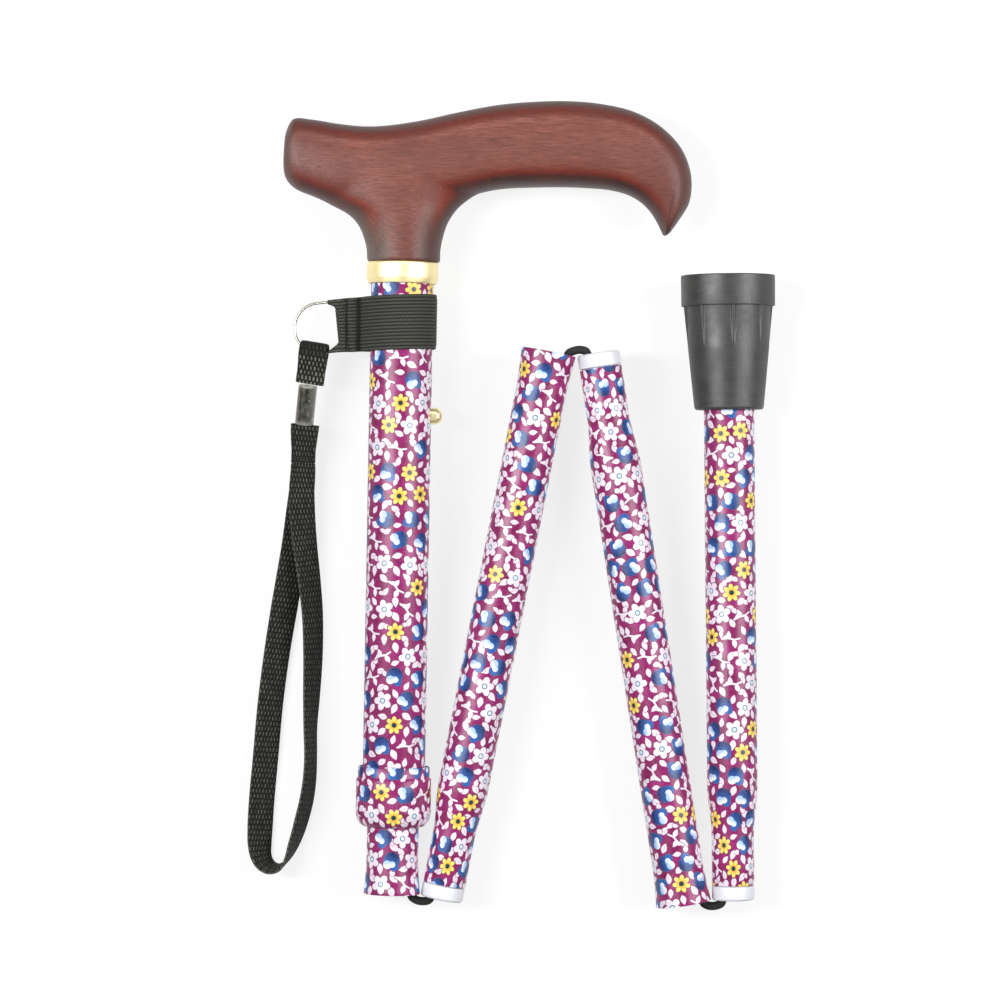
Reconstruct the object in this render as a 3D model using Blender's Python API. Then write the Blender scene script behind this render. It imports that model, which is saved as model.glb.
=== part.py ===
"""Folding walking cane with a wooden handle, lying folded on a table.

The cane lies in the XY plane with its tube axes at one height. +Y points to the
handle, +X to the right and +Z up off the table. The origin is the centre of the
footprint, on the table. Every section has its own frame: local Z runs along its
tube away from its joint end, local X across it, and local Y down to the table.
"""
import math

import bmesh
import bpy
from mathutils import Matrix, Vector

MM = 0.001
RUNNING_GAP = 0.3 * MM
MERGE_DISTANCE = 0.001 * MM
ROUND_STEPS = 28

# Tubes: the outer tube, the tube that telescopes in it, and the folding sections
UPPER_TUBE_RADIUS = 10.4 * MM
UPPER_TUBE_BORE = 9.1 * MM
UPPER_TUBE_BOTTOM = 33.0 * MM
LOWER_TUBE_RADIUS = 8.6 * MM
LOWER_TUBE_LENGTH = 172.0 * MM
UPPER_TUBE_HEADROOM = 38.2 * MM
UPPER_TUBE_TOP = LOWER_TUBE_LENGTH + UPPER_TUBE_HEADROOM
LOWER_BELL_FLARE = 0.8 * MM
SECTION_RADIUS = 8.4 * MM
SECTION_BORE = 7.35 * MM
SECTION_LENGTH = 185.8 * MM
SECTION_BELL_FLARE = 0.85 * MM
BELL_LENGTH = 12.0 * MM
NECK_RADIUS = 7.05 * MM
NECK_WALL = 0.9 * MM
NECK_END = 22.0 * MM
TAPER_LENGTH = 16.0 * MM
TIP_SOLE = 208.1 * MM
TIP_FLOOR_THICKNESS = 6.3 * MM
WASHER_THICKNESS = 1.2 * MM
LAST_TUBE_END = TIP_SOLE - TIP_FLOOR_THICKNESS - WASHER_THICKNESS - 2 * RUNNING_GAP

# White end rings
RING_RADIUS = 7.1 * MM
RING_BORE = 5.2 * MM
RING_HEIGHT = 4.7 * MM
RING_SPIGOT_DEPTH = 7.5 * MM
RING_EDGE = 0.5 * MM

# Folding: headings of the sections on the table, and the joint between two mouths
UPPER_HEADING = 1.0
SECTION_2_HEADING = 11.1
SECTION_3_HEADING = 171.2
SECTION_4_HEADING = -0.5
FOLD_OFFSET = 8.3 * MM
FOLD_GAP = 0.6 * MM

# Height adjustment
BUTTON_BELOW_END = 12.6 * MM
BUTTON_HEIGHT = LOWER_TUBE_LENGTH - BUTTON_BELOW_END
BUTTON_PITCH = 25.0 * MM
BUTTON_HOLES = 5
BUTTON_HOLE_RADIUS = 3.05 * MM
BUTTON_CLEARANCE = 0.2 * MM
BUTTON_PROTRUSION = 3.8 * MM
BUTTON_FLANGE_THICKNESS = 1.0 * MM
BUTTON_FLANGE_OVERHANG = 0.75 * MM
BUTTON_DOME_HEIGHT = 2.6 * MM
SPRING_THICKNESS = 0.5 * MM
SPRING_WIDTH = 4.0 * MM
SPRING_LENGTH = 31.0 * MM
SPRING_ARM = 12.0 * MM
SPRING_WALL_GAP = 0.95 * MM
SPRING_APEX = 0.5 * MM
BUSH_FLANGE_HEIGHT = 3.0 * MM
BUSH_SPIGOT_DEPTH = 6.0 * MM
BUSH_RUNNING_GAP = 0.15 * MM

# Lock nut and the clamp inside it
NUT_RADIUS = 12.5 * MM
NUT_BOTTOM = 22.4 * MM
NUT_LENGTH = 20.1 * MM
NUT_RIM_LENGTH = 4.0 * MM
NUT_RIM_STEP = 0.55 * MM
NUT_ROUNDING = 5.4 * MM
NUT_ROUNDING_INWARD = 3.35 * MM
NUT_STEP_SLOPE = 0.4 * MM
SLEEVE_BELOW_RIM = 1.0 * MM
CLAMP_LEAD = 0.8 * MM
NUT_WALL = 1.0 * MM
LOCK_SLEEVE_WALL = 0.5 * MM
LOCK_FINGER_LENGTH = 4.4 * MM
LOCK_FINGER_TAPER = 1.1 * MM
LOCK_SLOT_WIDTH = 1.2 * MM
LOCK_SLOTS = 4
CLAMP_RING_HEIGHT = 2.5 * MM

# Elastic cord
CORD_RADIUS = 1.4 * MM
CORD_INSIDE = 6.0 * MM
CORD_BESIDE_SPRING = 1.2 * MM
CORD_BEHIND_BUTTON = 2.5 * MM
CORD_SWAY = 8.0 * MM
CORD_KNOT_RADIUS = 3.2 * MM
CORD_KNOT_LENGTH = 5.0 * MM
CORD_HOLE_CLEARANCE = 0.3 * MM
ANCHOR_BELOW_END = 12.0 * MM
ANCHOR_BOTTOM = LAST_TUBE_END - ANCHOR_BELOW_END
ANCHOR_HEIGHT = 5.5 * MM

# Rubber tip
TIP_LENGTH = 44.8 * MM
TIP_FLANGE_RADIUS = 15.6 * MM
TIP_FLANGE_HEIGHT = 10.3 * MM
TIP_SHOULDER_RADIUS = 14.9 * MM
TIP_MOUTH_RADIUS = 11.7 * MM
TIP_GROOVE_DEPTH = 1.2 * MM
TIP_GROOVE_WIDTH = 1.2 * MM
TIP_GROOVE_PITCH = 3.9 * MM
TIP_GROOVES = 3
TIP_EDGE = 0.8 * MM
TIP_RIBS = 8
TIP_RIB_LENGTH = 12.0 * MM
TIP_RIB_WIDTH = 3.6 * MM
TIP_RIB_HEIGHT = 1.0 * MM
TIP_RIB_TURN = 4.0
WASHER_BORE = 3.0 * MM

# Handle and collar
HANDLE_SECTION_POINTS = 20
HANDLE_SQUARENESS = 2.7
COLLAR_RADIUS = 11.9 * MM
COLLAR_HEIGHT = 7.3 * MM
COLLAR_BOTTOM = UPPER_TUBE_TOP + RUNNING_GAP - COLLAR_HEIGHT
COLLAR_RIM_STEP = 0.5 * MM
COLLAR_RIM_HEIGHT = 1.4 * MM
COLLAR_EDGE = 0.4 * MM
INSERT_PLUG_LENGTH = 26.2 * MM
INSERT_BOTTOM = UPPER_TUBE_TOP - INSERT_PLUG_LENGTH
INSERT_EDGE = 1.0 * MM
INSERT_SPIGOT_RADIUS = 6.0 * MM
INSERT_SPIGOT_LENGTH = 18.0 * MM
SCREW_RADIUS = 1.9 * MM
SCREW_HEAD_RADIUS = 3.6 * MM
SCREW_HEAD_HEIGHT = 2.2 * MM
SCREW_LENGTH = 54.0 * MM
SCREW_POINT = 3.0 * MM

# Elastic band and D-ring
BAND_BELOW_TOP = 20.0 * MM
BAND_CENTRE = UPPER_TUBE_TOP - BAND_BELOW_TOP
BAND_WIDTH = 18.2 * MM
BAND_THICKNESS = 1.0 * MM
BAND_TAIL_START = 13.5 * MM
BAND_TAIL_HALF = 1.35 * MM
BAND_TAIL_WIDTH = 17.2 * MM
SEAM_SLIT = 0.1 * MM
BAND_EYE_WALL = 1.0 * MM
BAND_SLANT = 0.045
RING_WIRE_RADIUS = 0.45 * MM
D_RING_RADIUS = 8.3 * MM
D_RING_LEG = 7.8 * MM
D_RING_CORNER = 1.2 * MM
D_RING_LEAN = -6.8
D_RING_DROOP = 7.2
D_RING_OFFSET = 19.8 * MM
D_RING_BELOW_BAND = 1.2 * MM
D_RING_HEIGHT = BAND_CENTRE - D_RING_BELOW_BAND

# Webbing of the wrist strap
WEBBING_WIDTH = 9.6 * MM
WEBBING_THICKNESS = 1.2 * MM
TAB_AROUND_RING = 19.2
TAB_TURN = 15.2
TAB_SAG = 10.0
TAB_WIDTH = 9.4 * MM
TAB_LENGTH = 11.3 * MM
TAB_EYE_RADIUS = 1.9 * MM
TAB_EYE_LENGTH = 4.5 * MM
TAB_FOLD_THICKNESS = 1.0 * MM
TAB_EYE_CLOSE = 0.5 * MM
TAB_EYE_SETBACK = 0.6 * MM
SLEEVE_TURN = 1.8
SEAM_TURN = 4.2
SLEEVE_SHIFT = 0.5 * MM
SLEEVE_RADIUS = 3.15 * MM
SLEEVE_BORE = 2.2 * MM
SLEEVE_LENGTH = 13.6 * MM
STRAP_CORE_RADIUS = 1.8 * MM
SEAM_LENGTH = 13.0 * MM
SEAM_EDGE = 0.3 * MM
STRAP_LEAD = 3.0 * MM

AXIS_HEIGHT = TIP_FLANGE_RADIUS

# Handle stations: top edge, bottom edge and half thickness in mm, from the neck's foot
HANDLE_STATIONS = [
    (-40.0, 38.5, -40.3, 31.0, 5.0),
    (-39.3, 43.3, -39.6, 27.4, 8.8),
    (-37.2, 47.0, -36.8, 24.2, 10.7),
    (-31.0, 46.9, -31.2, 21.8, 11.8),
    (-22.0, 45.6, -22.4, 18.8, 12.7),
    (-13.3, 44.9, -12.8, 18.6, 13.3),
    (4.0, 46.9, 4.5, 19.7, 13.8),
    (17.6, 50.1, 18.1, 21.7, 14.0),
    (31.6, 52.9, 31.7, 24.9, 14.0),
    (43.2, 54.1, 42.7, 25.7, 13.8),
    (54.2, 54.5, 52.7, 26.0, 13.5),
    (65.6, 53.7, 62.1, 25.8, 13.0),
    (76.6, 51.2, 69.7, 25.1, 12.4),
    (85.7, 46.2, 75.8, 23.3, 11.7),
    (92.5, 39.0, 79.8, 20.7, 10.9),
    (95.7, 30.0, 82.5, 17.8, 10.0),
    (95.1, 21.3, 84.4, 14.8, 8.8),
    (91.9, 15.6, 85.8, 12.0, 7.2),
    (88.9, 11.2, 86.7, 9.8, 4.8),
]

# Neck stations: height, middle, half width and half thickness in mm, from its foot
NECK_STATIONS = [
    (0.0, 0.3, 12.2, 12.1),
    (4.0, 0.2, 12.3, 12.3),
    (8.5, 0.0, 13.3, 12.6),
    (12.5, -0.4, 14.9, 12.9),
    (15.5, -1.1, 17.2, 13.1),
    (18.5, -2.8, 21.2, 13.25),
    (21.8, -3.8, 26.2, 13.4),
    (26.0, -3.0, 31.0, 13.5),
    (30.0, -3.0, 30.0, 13.5),
    (35.0, -3.0, 22.0, 13.2),
]

# The strap's route after its seam: x, y and z in mm from the origin, and how far its
# width is rolled about its own line, in degrees. It runs down the left strand, turns
# on its edge at the bottom and climbs the right strand.
STRAP_ROUTE = [
    (-76.4, 6.0, 4.6, 3.0),
    (-77.4, -2.4, 4.7, -6.0),
    (-78.8, -13.4, 4.5, -15.0),
    (-80.5, -23.4, 4.1, -21.0),
    (-82.4, -34.4, 3.8, -25.0),
    (-84.6, -47.7, 3.6, -29.0),
    (-87.1, -66.7, 3.6, -31.0),
    (-88.8, -85.7, 3.6, -31.0),
    (-90.1, -100.1, 3.5, -31.0),
    (-90.6, -109.0, 3.6, -33.0),
    (-90.7, -114.2, 4.0, -39.0),
    (-90.3, -117.7, 4.4, -48.0),
    (-88.9, -120.5, 4.8, -58.0),
    (-86.9, -121.9, 5.1, -68.0),
    (-84.6, -122.0, 5.3, -80.0),
    (-82.6, -120.7, 5.4, -90.0),
    (-80.9, -118.1, 5.4, -99.0),
    (-79.7, -115.3, 5.3, -106.0),
    (-77.9, -110.4, 5.2, -112.0),
    (-76.3, -104.9, 5.1, -115.0),
    (-74.9, -99.2, 5.1, -115.0),
    (-73.9, -92.4, 5.2, -113.0),
    (-73.5, -84.4, 5.3, -111.0),
    (-73.6, -75.4, 5.3, -113.0),
    (-73.2, -64.4, 5.3, -121.0),
    (-72.7, -50.4, 5.4, -128.0),
    (-72.9, -36.4, 5.8, -133.0),
    (-74.0, -24.4, 6.2, -140.0),
    (-75.3, -13.4, 6.6, -149.0),
    (-76.2, -3.4, 7.0, -164.0),
    (-76.4, 6.0, 6.7, -183.0),
]


def clear_scene():
    for old in list(bpy.data.objects):
        bpy.data.objects.remove(old, do_unlink=True)


def finish(name, colour, roughness, metallic=0.0, alpha=1.0):
    material = bpy.data.materials.new(name)
    material.use_nodes = True
    shader = material.node_tree.nodes["Principled BSDF"]
    shader.inputs["Base Color"].default_value = (*colour, 1.0)
    shader.inputs["Roughness"].default_value = roughness
    shader.inputs["Metallic"].default_value = metallic
    shader.inputs["Alpha"].default_value = alpha
    return material


def frame(name, matrix, parent=None):
    """An empty that carries the pieces of one section."""
    empty = bpy.data.objects.new(name, None)
    empty.empty_display_size = 0.01
    bpy.context.scene.collection.objects.link(empty)
    empty.parent = parent
    empty.matrix_local = matrix
    return empty


def piece(name, bm, parent, material):
    mesh = bpy.data.meshes.new(name)
    bm.to_mesh(mesh)
    bm.free()
    mesh.materials.append(material)
    mesh.shade_smooth()
    mesh.set_sharp_from_angle(angle=math.radians(35))
    made = bpy.data.objects.new(name, mesh)
    bpy.context.scene.collection.objects.link(made)
    made.parent = parent
    return made


def guide(name, bm, parent):
    """A cutter or an added form, which isn't a piece itself."""
    made = piece(name, bm, parent, FINISHES["guide"])
    made.hide_render = True
    made.display_type = "WIRE"
    return made


def combine(target, other, operation):
    step = target.modifiers.new(other.name, "BOOLEAN")
    step.operation = operation
    step.object = other


def turned(profile, steps=ROUND_STEPS):
    """Spin an outline of (radius, height) about local Z.

    An outline that starts and ends on the axis makes a solid, any other a ring.
    """
    bm = bmesh.new()
    points = [bm.verts.new((radius, 0.0, height)) for radius, height in profile]
    solid = profile[0][0] == 0.0 and profile[-1][0] == 0.0
    ends = points[1:] if solid else points[1:] + points[:1]
    edges = [bm.edges.new(pair) for pair in zip(points, ends)]
    bmesh.ops.spin(bm, geom=points + edges, cent=(0, 0, 0), axis=(0, 0, 1),
                   angle=2 * math.pi, steps=steps, use_merge=True)
    bmesh.ops.remove_doubles(bm, verts=bm.verts, dist=MERGE_DISTANCE)
    bmesh.ops.recalc_face_normals(bm, faces=bm.faces)
    return bm


def rod(radius, bottom, top, steps=ROUND_STEPS):
    return turned([(0.0, bottom), (radius, bottom), (radius, top), (0.0, top)], steps)


def ring(outer, bore, bottom, top, steps=ROUND_STEPS):
    return turned([(outer, bottom), (outer, top), (bore, top), (bore, bottom)], steps)


def tube(stations, steps=ROUND_STEPS):
    """A turned wall from stations of (height, outer radius, bore radius)."""
    outside = [(outer, height) for height, outer, bore in stations]
    inside = [(bore, height) for height, outer, bore in reversed(stations)]
    return turned(outside + inside, steps)


def lofted(rings, closed=False):
    """A closed skin of triangles over rings of equal count; its two ends are capped."""
    bm = bmesh.new()
    loops = [[bm.verts.new(point) for point in loop] for loop in rings]
    pairs = list(zip(loops, loops[1:]))
    if closed:
        pairs.append((loops[-1], loops[0]))
    else:
        bm.faces.new(loops[0])
        bm.faces.new(loops[-1])
    count = len(loops[0])
    for low, high in pairs:
        for i in range(count):
            j = (i + 1) % count
            bm.faces.new((low[i], low[j], high[j], high[i]))
    bmesh.ops.triangulate(bm, faces=bm.faces)
    bmesh.ops.recalc_face_normals(bm, faces=bm.faces)
    return bm


def band_prism(outer, inner, place):
    """A ring-shaped prism between two outlines of equal count, at two ends."""
    bm = bmesh.new()
    loops = {}
    for end in (0, 1):
        for side, outline in (("outer", outer), ("inner", inner)):
            loops[side, end] = [bm.verts.new(place(a, b, end)) for a, b in outline]
    walls = [(loops["outer", 0], loops["outer", 1]), (loops["inner", 0], loops["inner", 1]),
             (loops["outer", 0], loops["inner", 0]), (loops["outer", 1], loops["inner", 1])]
    count = len(outer)
    for first, second in walls:
        for i in range(count):
            j = (i + 1) % count
            bm.faces.new((first[i], first[j], second[j], second[i]))
    bmesh.ops.recalc_face_normals(bm, faces=bm.faces)
    return bm


def smooth_path(points, steps):
    """Curve through points, with so many steps between two of them.

    Its slopes are weighted by the distances between points, so that it doesn't
    swing out where long and short spans meet.
    """
    points = [Vector(p) for p in points]
    spans = [(Vector(b[:3]) - Vector(a[:3])).length for a, b in zip(points, points[1:])]
    rates = [(b - a) / span for a, b, span in zip(points, points[1:], spans)]
    slopes = [rates[0]]
    for k in range(1, len(rates)):
        share = spans[k - 1] / (spans[k - 1] + spans[k])
        slopes.append(rates[k - 1] * (1 - share) + rates[k] * share)
    slopes.append(rates[-1])
    path = []
    for k, span in enumerate(spans):
        for step in range(steps):
            t = step / steps
            path.append(points[k] * (2 * t ** 3 - 3 * t ** 2 + 1)
                        + slopes[k] * span * (t ** 3 - 2 * t ** 2 + t)
                        + points[k + 1] * (3 * t ** 2 - 2 * t ** 3)
                        + slopes[k + 1] * span * (t ** 3 - t ** 2))
    path.append(points[-1])
    return path


def tangents(path):
    """Unit direction at each point of a path."""
    ahead = path[1:] + path[-1:]
    behind = path[:1] + path[:-1]
    return [(a - b).normalized() for a, b in zip(ahead, behind)]


def plan_frame(x, y, heading):
    """Frame on the tube plane: local Z at a heading from +Y, clockwise, in degrees."""
    turn = math.radians(heading)
    along = Vector((math.sin(turn), math.cos(turn), 0.0))
    across = Vector((math.cos(turn), -math.sin(turn), 0.0))
    down = Vector((0.0, 0.0, -1.0))
    matrix = Matrix((across, down, along)).transposed().to_4x4()
    matrix.translation = (x, y, AXIS_HEIGHT)
    return matrix


def fold_point(section, side, height):
    """Hinge point beside a section's end, on its own plane."""
    return section @ Vector((side * FOLD_OFFSET, 0.0, height))


def folded_section(hinge, heading, side):
    """Frame of the next section, whose ring end meets a hinge on the given side."""
    turned_frame = plan_frame(0.0, 0.0, heading)
    shift = turned_frame.to_3x3() @ Vector((side * FOLD_OFFSET, 0.0, -FOLD_GAP))
    turned_frame.translation = hinge - shift
    return turned_frame


def lay_out():
    """Places of the four sections and of the three fold hinges."""
    places = {"upper": plan_frame(0.0, 0.0, UPPER_HEADING)}
    places["fold_1"] = fold_point(places["upper"], 1, -FOLD_GAP)
    places["section_2"] = folded_section(places["fold_1"], SECTION_2_HEADING, -1)
    places["fold_2"] = fold_point(places["section_2"], 1, SECTION_LENGTH + FOLD_GAP)
    places["section_3"] = folded_section(places["fold_2"], SECTION_3_HEADING, 1)
    places["fold_3"] = fold_point(places["section_3"], -1, SECTION_LENGTH + FOLD_GAP)
    places["section_4"] = folded_section(places["fold_3"], SECTION_4_HEADING, -1)
    return places


def footprint_centre(places):
    """Middle of the cane's outline on the table, from the pieces that reach furthest."""
    neck_foot = UPPER_TUBE_TOP + RUNNING_GAP
    butt_x, butt_z = HANDLE_STATIONS[0][0] * MM, HANDLE_STATIONS[0][1] * MM
    crown = max(HANDLE_STATIONS, key=lambda station: station[1])
    butt = places["upper"] @ Vector((butt_x, 0.0, neck_foot + butt_z))
    top = places["upper"] @ Vector((crown[0] * MM, 0.0, neck_foot + crown[1] * MM))
    tip = places["section_4"] @ Vector((TIP_FLANGE_RADIUS, 0.0, TIP_SOLE))
    mouth = SECTION_RADIUS + SECTION_BELL_FLARE
    low = places["section_3"] @ Vector((mouth, 0.0, SECTION_LENGTH))
    return Vector(((butt.x + tip.x) / 2, (top.y + low.y) / 2, 0.0))


def bell(radius, bore, flare, mouth, inward):
    """Stations of a flared mouth, from the mouth inward along local Z."""
    parts = 3
    stations = []
    for k in range(parts + 1):
        share = k / parts
        widening = flare * (1 - share) ** 1.5
        height = mouth + inward * share * BELL_LENGTH
        stations.append((height, radius + widening, bore + widening))
    return stations


def neck():
    """Stations of a narrowed section end, from its ring to the full tube."""
    wide_at = NECK_END + TAPER_LENGTH
    middle = (NECK_RADIUS + SECTION_RADIUS) / 2
    middle_bore = (NECK_RADIUS - NECK_WALL + SECTION_BORE) / 2
    return [
        (RING_HEIGHT + RUNNING_GAP, NECK_RADIUS, NECK_RADIUS - NECK_WALL),
        (NECK_END, NECK_RADIUS, NECK_RADIUS - NECK_WALL),
        ((NECK_END + wide_at) / 2, middle, middle_bore),
        (wide_at, SECTION_RADIUS, SECTION_BORE),
    ]


def superellipse(centre, half_up, half_out, squareness, count):
    """Closed ring round a centre, between an ellipse and a rounded box."""
    power = 2 / squareness
    loop = []
    for k in range(count):
        angle = 2 * math.pi * k / count
        up = math.copysign(abs(math.cos(angle)) ** power, math.cos(angle))
        out = math.copysign(abs(math.sin(angle)) ** power, math.sin(angle))
        loop.append(centre + up * half_up + out * half_out)
    return loop


def make_handle(parent):
    foot = UPPER_TUBE_TOP + RUNNING_GAP
    stations = smooth_path([(top_x, top_z, half) for top_x, top_z, _, _, half
                            in HANDLE_STATIONS], 2)
    lower_edges = smooth_path([(low_x, low_z, 0.0) for _, _, low_x, low_z, _
                               in HANDLE_STATIONS], 2)
    rings = []
    for upper, lower in zip(stations, lower_edges):
        top = Vector((upper.x, 0.0, upper.y)) * MM
        low = Vector((lower.x, 0.0, lower.y)) * MM
        centre = (top + low) / 2 + Vector((0.0, 0.0, foot))
        half_out = Vector((0.0, upper.z * MM, 0.0))
        rings.append(superellipse(centre, (top - low) / 2, half_out,
                                  HANDLE_SQUARENESS, HANDLE_SECTION_POINTS))
    handle = piece("handle", lofted(rings), parent, FINISHES["wood"])

    rings = []
    for height, middle, half_width, half_thickness in NECK_STATIONS:
        centre = Vector((middle * MM, 0.0, foot + height * MM))
        rings.append(superellipse(centre, Vector((half_width * MM, 0.0, 0.0)),
                                  Vector((0.0, half_thickness * MM, 0.0)), 2.0, 28))
    combine(handle, guide("handle_neck", lofted(rings), parent), "UNION")

    socket_radius = INSERT_SPIGOT_RADIUS + RUNNING_GAP
    socket_top = foot + INSERT_SPIGOT_LENGTH + RUNNING_GAP
    pilot_radius = SCREW_RADIUS + RUNNING_GAP
    pilot_top = INSERT_BOTTOM + SCREW_LENGTH + RUNNING_GAP
    below_foot = foot - COLLAR_HEIGHT
    bore = turned([(0.0, below_foot), (socket_radius, below_foot),
                   (socket_radius, socket_top), (pilot_radius, socket_top),
                   (pilot_radius, pilot_top), (0.0, pilot_top)], 20)
    combine(handle, guide("handle_bore", bore, parent), "DIFFERENCE")

    plug_radius = UPPER_TUBE_BORE - RUNNING_GAP
    hole = SCREW_RADIUS + RUNNING_GAP
    spigot_top = foot + INSERT_SPIGOT_LENGTH
    insert = turned([(plug_radius, INSERT_BOTTOM), (plug_radius, UPPER_TUBE_TOP - INSERT_EDGE),
                     (INSERT_SPIGOT_RADIUS, UPPER_TUBE_TOP), (INSERT_SPIGOT_RADIUS, spigot_top),
                     (hole, spigot_top), (hole, INSERT_BOTTOM)], 24)
    piece("handle_insert", insert, parent, FINISHES["dark_plastic"])

    head_top = INSERT_BOTTOM - RUNNING_GAP
    head_bottom = head_top - SCREW_HEAD_HEIGHT
    screw_tip = INSERT_BOTTOM + SCREW_LENGTH
    screw = turned([(0.0, head_bottom), (SCREW_HEAD_RADIUS, head_bottom),
                    (SCREW_HEAD_RADIUS, head_top), (SCREW_RADIUS, head_top),
                    (SCREW_RADIUS, screw_tip - SCREW_POINT), (0.0, screw_tip)], 16)
    piece("handle_screw", screw, parent, FINISHES["steel"])

    top = COLLAR_BOTTOM + COLLAR_HEIGHT
    collar_bore = UPPER_TUBE_RADIUS + RUNNING_GAP
    edge = COLLAR_EDGE
    collar = turned([(COLLAR_RADIUS - COLLAR_RIM_STEP, COLLAR_BOTTOM),
                     (COLLAR_RADIUS - COLLAR_RIM_STEP + edge, COLLAR_BOTTOM + COLLAR_RIM_HEIGHT),
                     (COLLAR_RADIUS, COLLAR_BOTTOM + COLLAR_RIM_HEIGHT + edge),
                     (COLLAR_RADIUS, top - edge), (COLLAR_RADIUS - edge, top),
                     (collar_bore, top), (collar_bore, COLLAR_BOTTOM)], 40)
    piece("brass_collar", collar, parent, FINISHES["brass"])


def button_hole(name, height, parent):
    """Cutter across a tube wall on its +X side."""
    bm = rod(BUTTON_HOLE_RADIUS, SECTION_BORE / 2, 2 * UPPER_TUBE_RADIUS, 16)
    turn = Matrix.Rotation(math.radians(90), 4, "Y")
    bmesh.ops.transform(bm, matrix=Matrix.Translation((0, 0, height)) @ turn, verts=bm.verts)
    return guide(name, bm, parent)


def make_upper_tube(parent):
    wall = ring(UPPER_TUBE_RADIUS, UPPER_TUBE_BORE, UPPER_TUBE_BOTTOM, UPPER_TUBE_TOP)
    made = piece("upper_tube", wall, parent, FINISHES["print"])
    for k in range(BUTTON_HOLES):
        height = BUTTON_HEIGHT - k * BUTTON_PITCH
        combine(made, button_hole(f"upper_hole_{k + 1}", height, parent), "DIFFERENCE")


def make_lock(parent):
    """Sleeve on the upper tube's mouth, the clamp ring under it and the nut over both."""
    guide_bore = LOWER_TUBE_RADIUS + RUNNING_GAP
    sleeve_bore = UPPER_TUBE_RADIUS + RUNNING_GAP
    sleeve_radius = sleeve_bore + LOCK_SLEEVE_WALL
    nut_top = NUT_BOTTOM + NUT_LENGTH
    sleeve_top = nut_top - SLEEVE_BELOW_RIM
    seat = UPPER_TUBE_BOTTOM - RUNNING_GAP
    fingers = seat - LOCK_FINGER_LENGTH
    sleeve = turned([(sleeve_radius - LOCK_FINGER_TAPER, fingers), (sleeve_radius, seat),
                     (sleeve_radius, sleeve_top), (sleeve_bore, sleeve_top),
                     (sleeve_bore, seat), (guide_bore, seat), (guide_bore, fingers)])
    made = piece("lock_sleeve", sleeve, parent, FINISHES["dark_plastic"])
    for k in range(LOCK_SLOTS):
        bm = bmesh.new()
        bmesh.ops.create_cube(bm, size=1.0)
        span = 2 * (sleeve_radius - guide_bore) + LOCK_SLOT_WIDTH
        bmesh.ops.scale(bm, vec=(span, LOCK_SLOT_WIDTH, LOCK_FINGER_LENGTH), verts=bm.verts)
        slot_middle = fingers + LOCK_FINGER_LENGTH / 2 - LOCK_SLOT_WIDTH / 2
        centre = ((guide_bore + sleeve_radius) / 2, 0.0, slot_middle)
        bmesh.ops.translate(bm, vec=centre, verts=bm.verts)
        turn = Matrix.Rotation(2 * math.pi * (k + 0.5) / LOCK_SLOTS, 3, "Z")
        bmesh.ops.rotate(bm, cent=(0, 0, 0), matrix=turn, verts=bm.verts)
        combine(made, guide(f"lock_slot_{k + 1}", bm, parent), "DIFFERENCE")

    clamp_top = fingers - RUNNING_GAP
    clamp_bottom = clamp_top - CLAMP_RING_HEIGHT
    clamp = turned([(sleeve_radius, clamp_bottom), (sleeve_radius, clamp_top),
                    (sleeve_radius - LOCK_FINGER_TAPER, clamp_top),
                    (guide_bore, clamp_bottom + CLAMP_LEAD), (guide_bore, clamp_bottom)])
    piece("clamp_ring", clamp, parent, FINISHES["white_plastic"])

    inner = NUT_RADIUS - NUT_WALL
    floor = clamp_bottom - RUNNING_GAP
    rim_bottom = nut_top - NUT_RIM_LENGTH
    outline = []
    turns = 6
    for k in range(turns + 1):
        angle = math.radians(90 * k / turns)
        radius = NUT_RADIUS - NUT_ROUNDING_INWARD * (1 - math.sin(angle))
        outline.append((radius, NUT_BOTTOM + NUT_ROUNDING * (1 - math.cos(angle))))
    outline += [(NUT_RADIUS, rim_bottom),
                (NUT_RADIUS - NUT_RIM_STEP, rim_bottom + NUT_STEP_SLOPE),
                (NUT_RADIUS - NUT_RIM_STEP, nut_top), (inner, nut_top),
                (inner, floor), (guide_bore, floor), (guide_bore, NUT_BOTTOM)]
    piece("lock_nut", turned(outline, 32), parent, FINISHES["print"])


def make_lower_tube(parent):
    stations = bell(LOWER_TUBE_RADIUS, SECTION_BORE, LOWER_BELL_FLARE, 0.0, 1)
    stations.append((LOWER_TUBE_LENGTH, LOWER_TUBE_RADIUS, SECTION_BORE))
    made = piece("lower_tube", tube(stations), parent, FINISHES["print"])
    combine(made, button_hole("lower_hole", BUTTON_HEIGHT, parent), "DIFFERENCE")

    cord_hole = CORD_RADIUS + CORD_HOLE_CLEARANCE
    flange_bottom = LOWER_TUBE_LENGTH + RUNNING_GAP
    flange_top = flange_bottom + BUSH_FLANGE_HEIGHT
    flange = UPPER_TUBE_BORE - BUSH_RUNNING_GAP
    spigot = SECTION_BORE - RUNNING_GAP
    bush = turned([(spigot, LOWER_TUBE_LENGTH - BUSH_SPIGOT_DEPTH), (spigot, flange_bottom),
                   (flange, flange_bottom), (flange, flange_top),
                   (cord_hole, flange_top), (cord_hole, LOWER_TUBE_LENGTH - BUSH_SPIGOT_DEPTH)], 24)
    piece("guide_bush", bush, parent, FINISHES["white_plastic"])
    piece("cord_stop", knot(flange_top + RUNNING_GAP), parent, FINISHES["steel"])


def knot(bottom):
    """Crimped bead at an end of the cord."""
    waist = 0.8 * CORD_KNOT_RADIUS
    third = CORD_KNOT_LENGTH / 3
    return turned([(0.0, bottom), (waist, bottom), (CORD_KNOT_RADIUS, bottom + third),
                   (CORD_KNOT_RADIUS, bottom + 2 * third), (waist, bottom + CORD_KNOT_LENGTH),
                   (0.0, bottom + CORD_KNOT_LENGTH)], 12)


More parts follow.
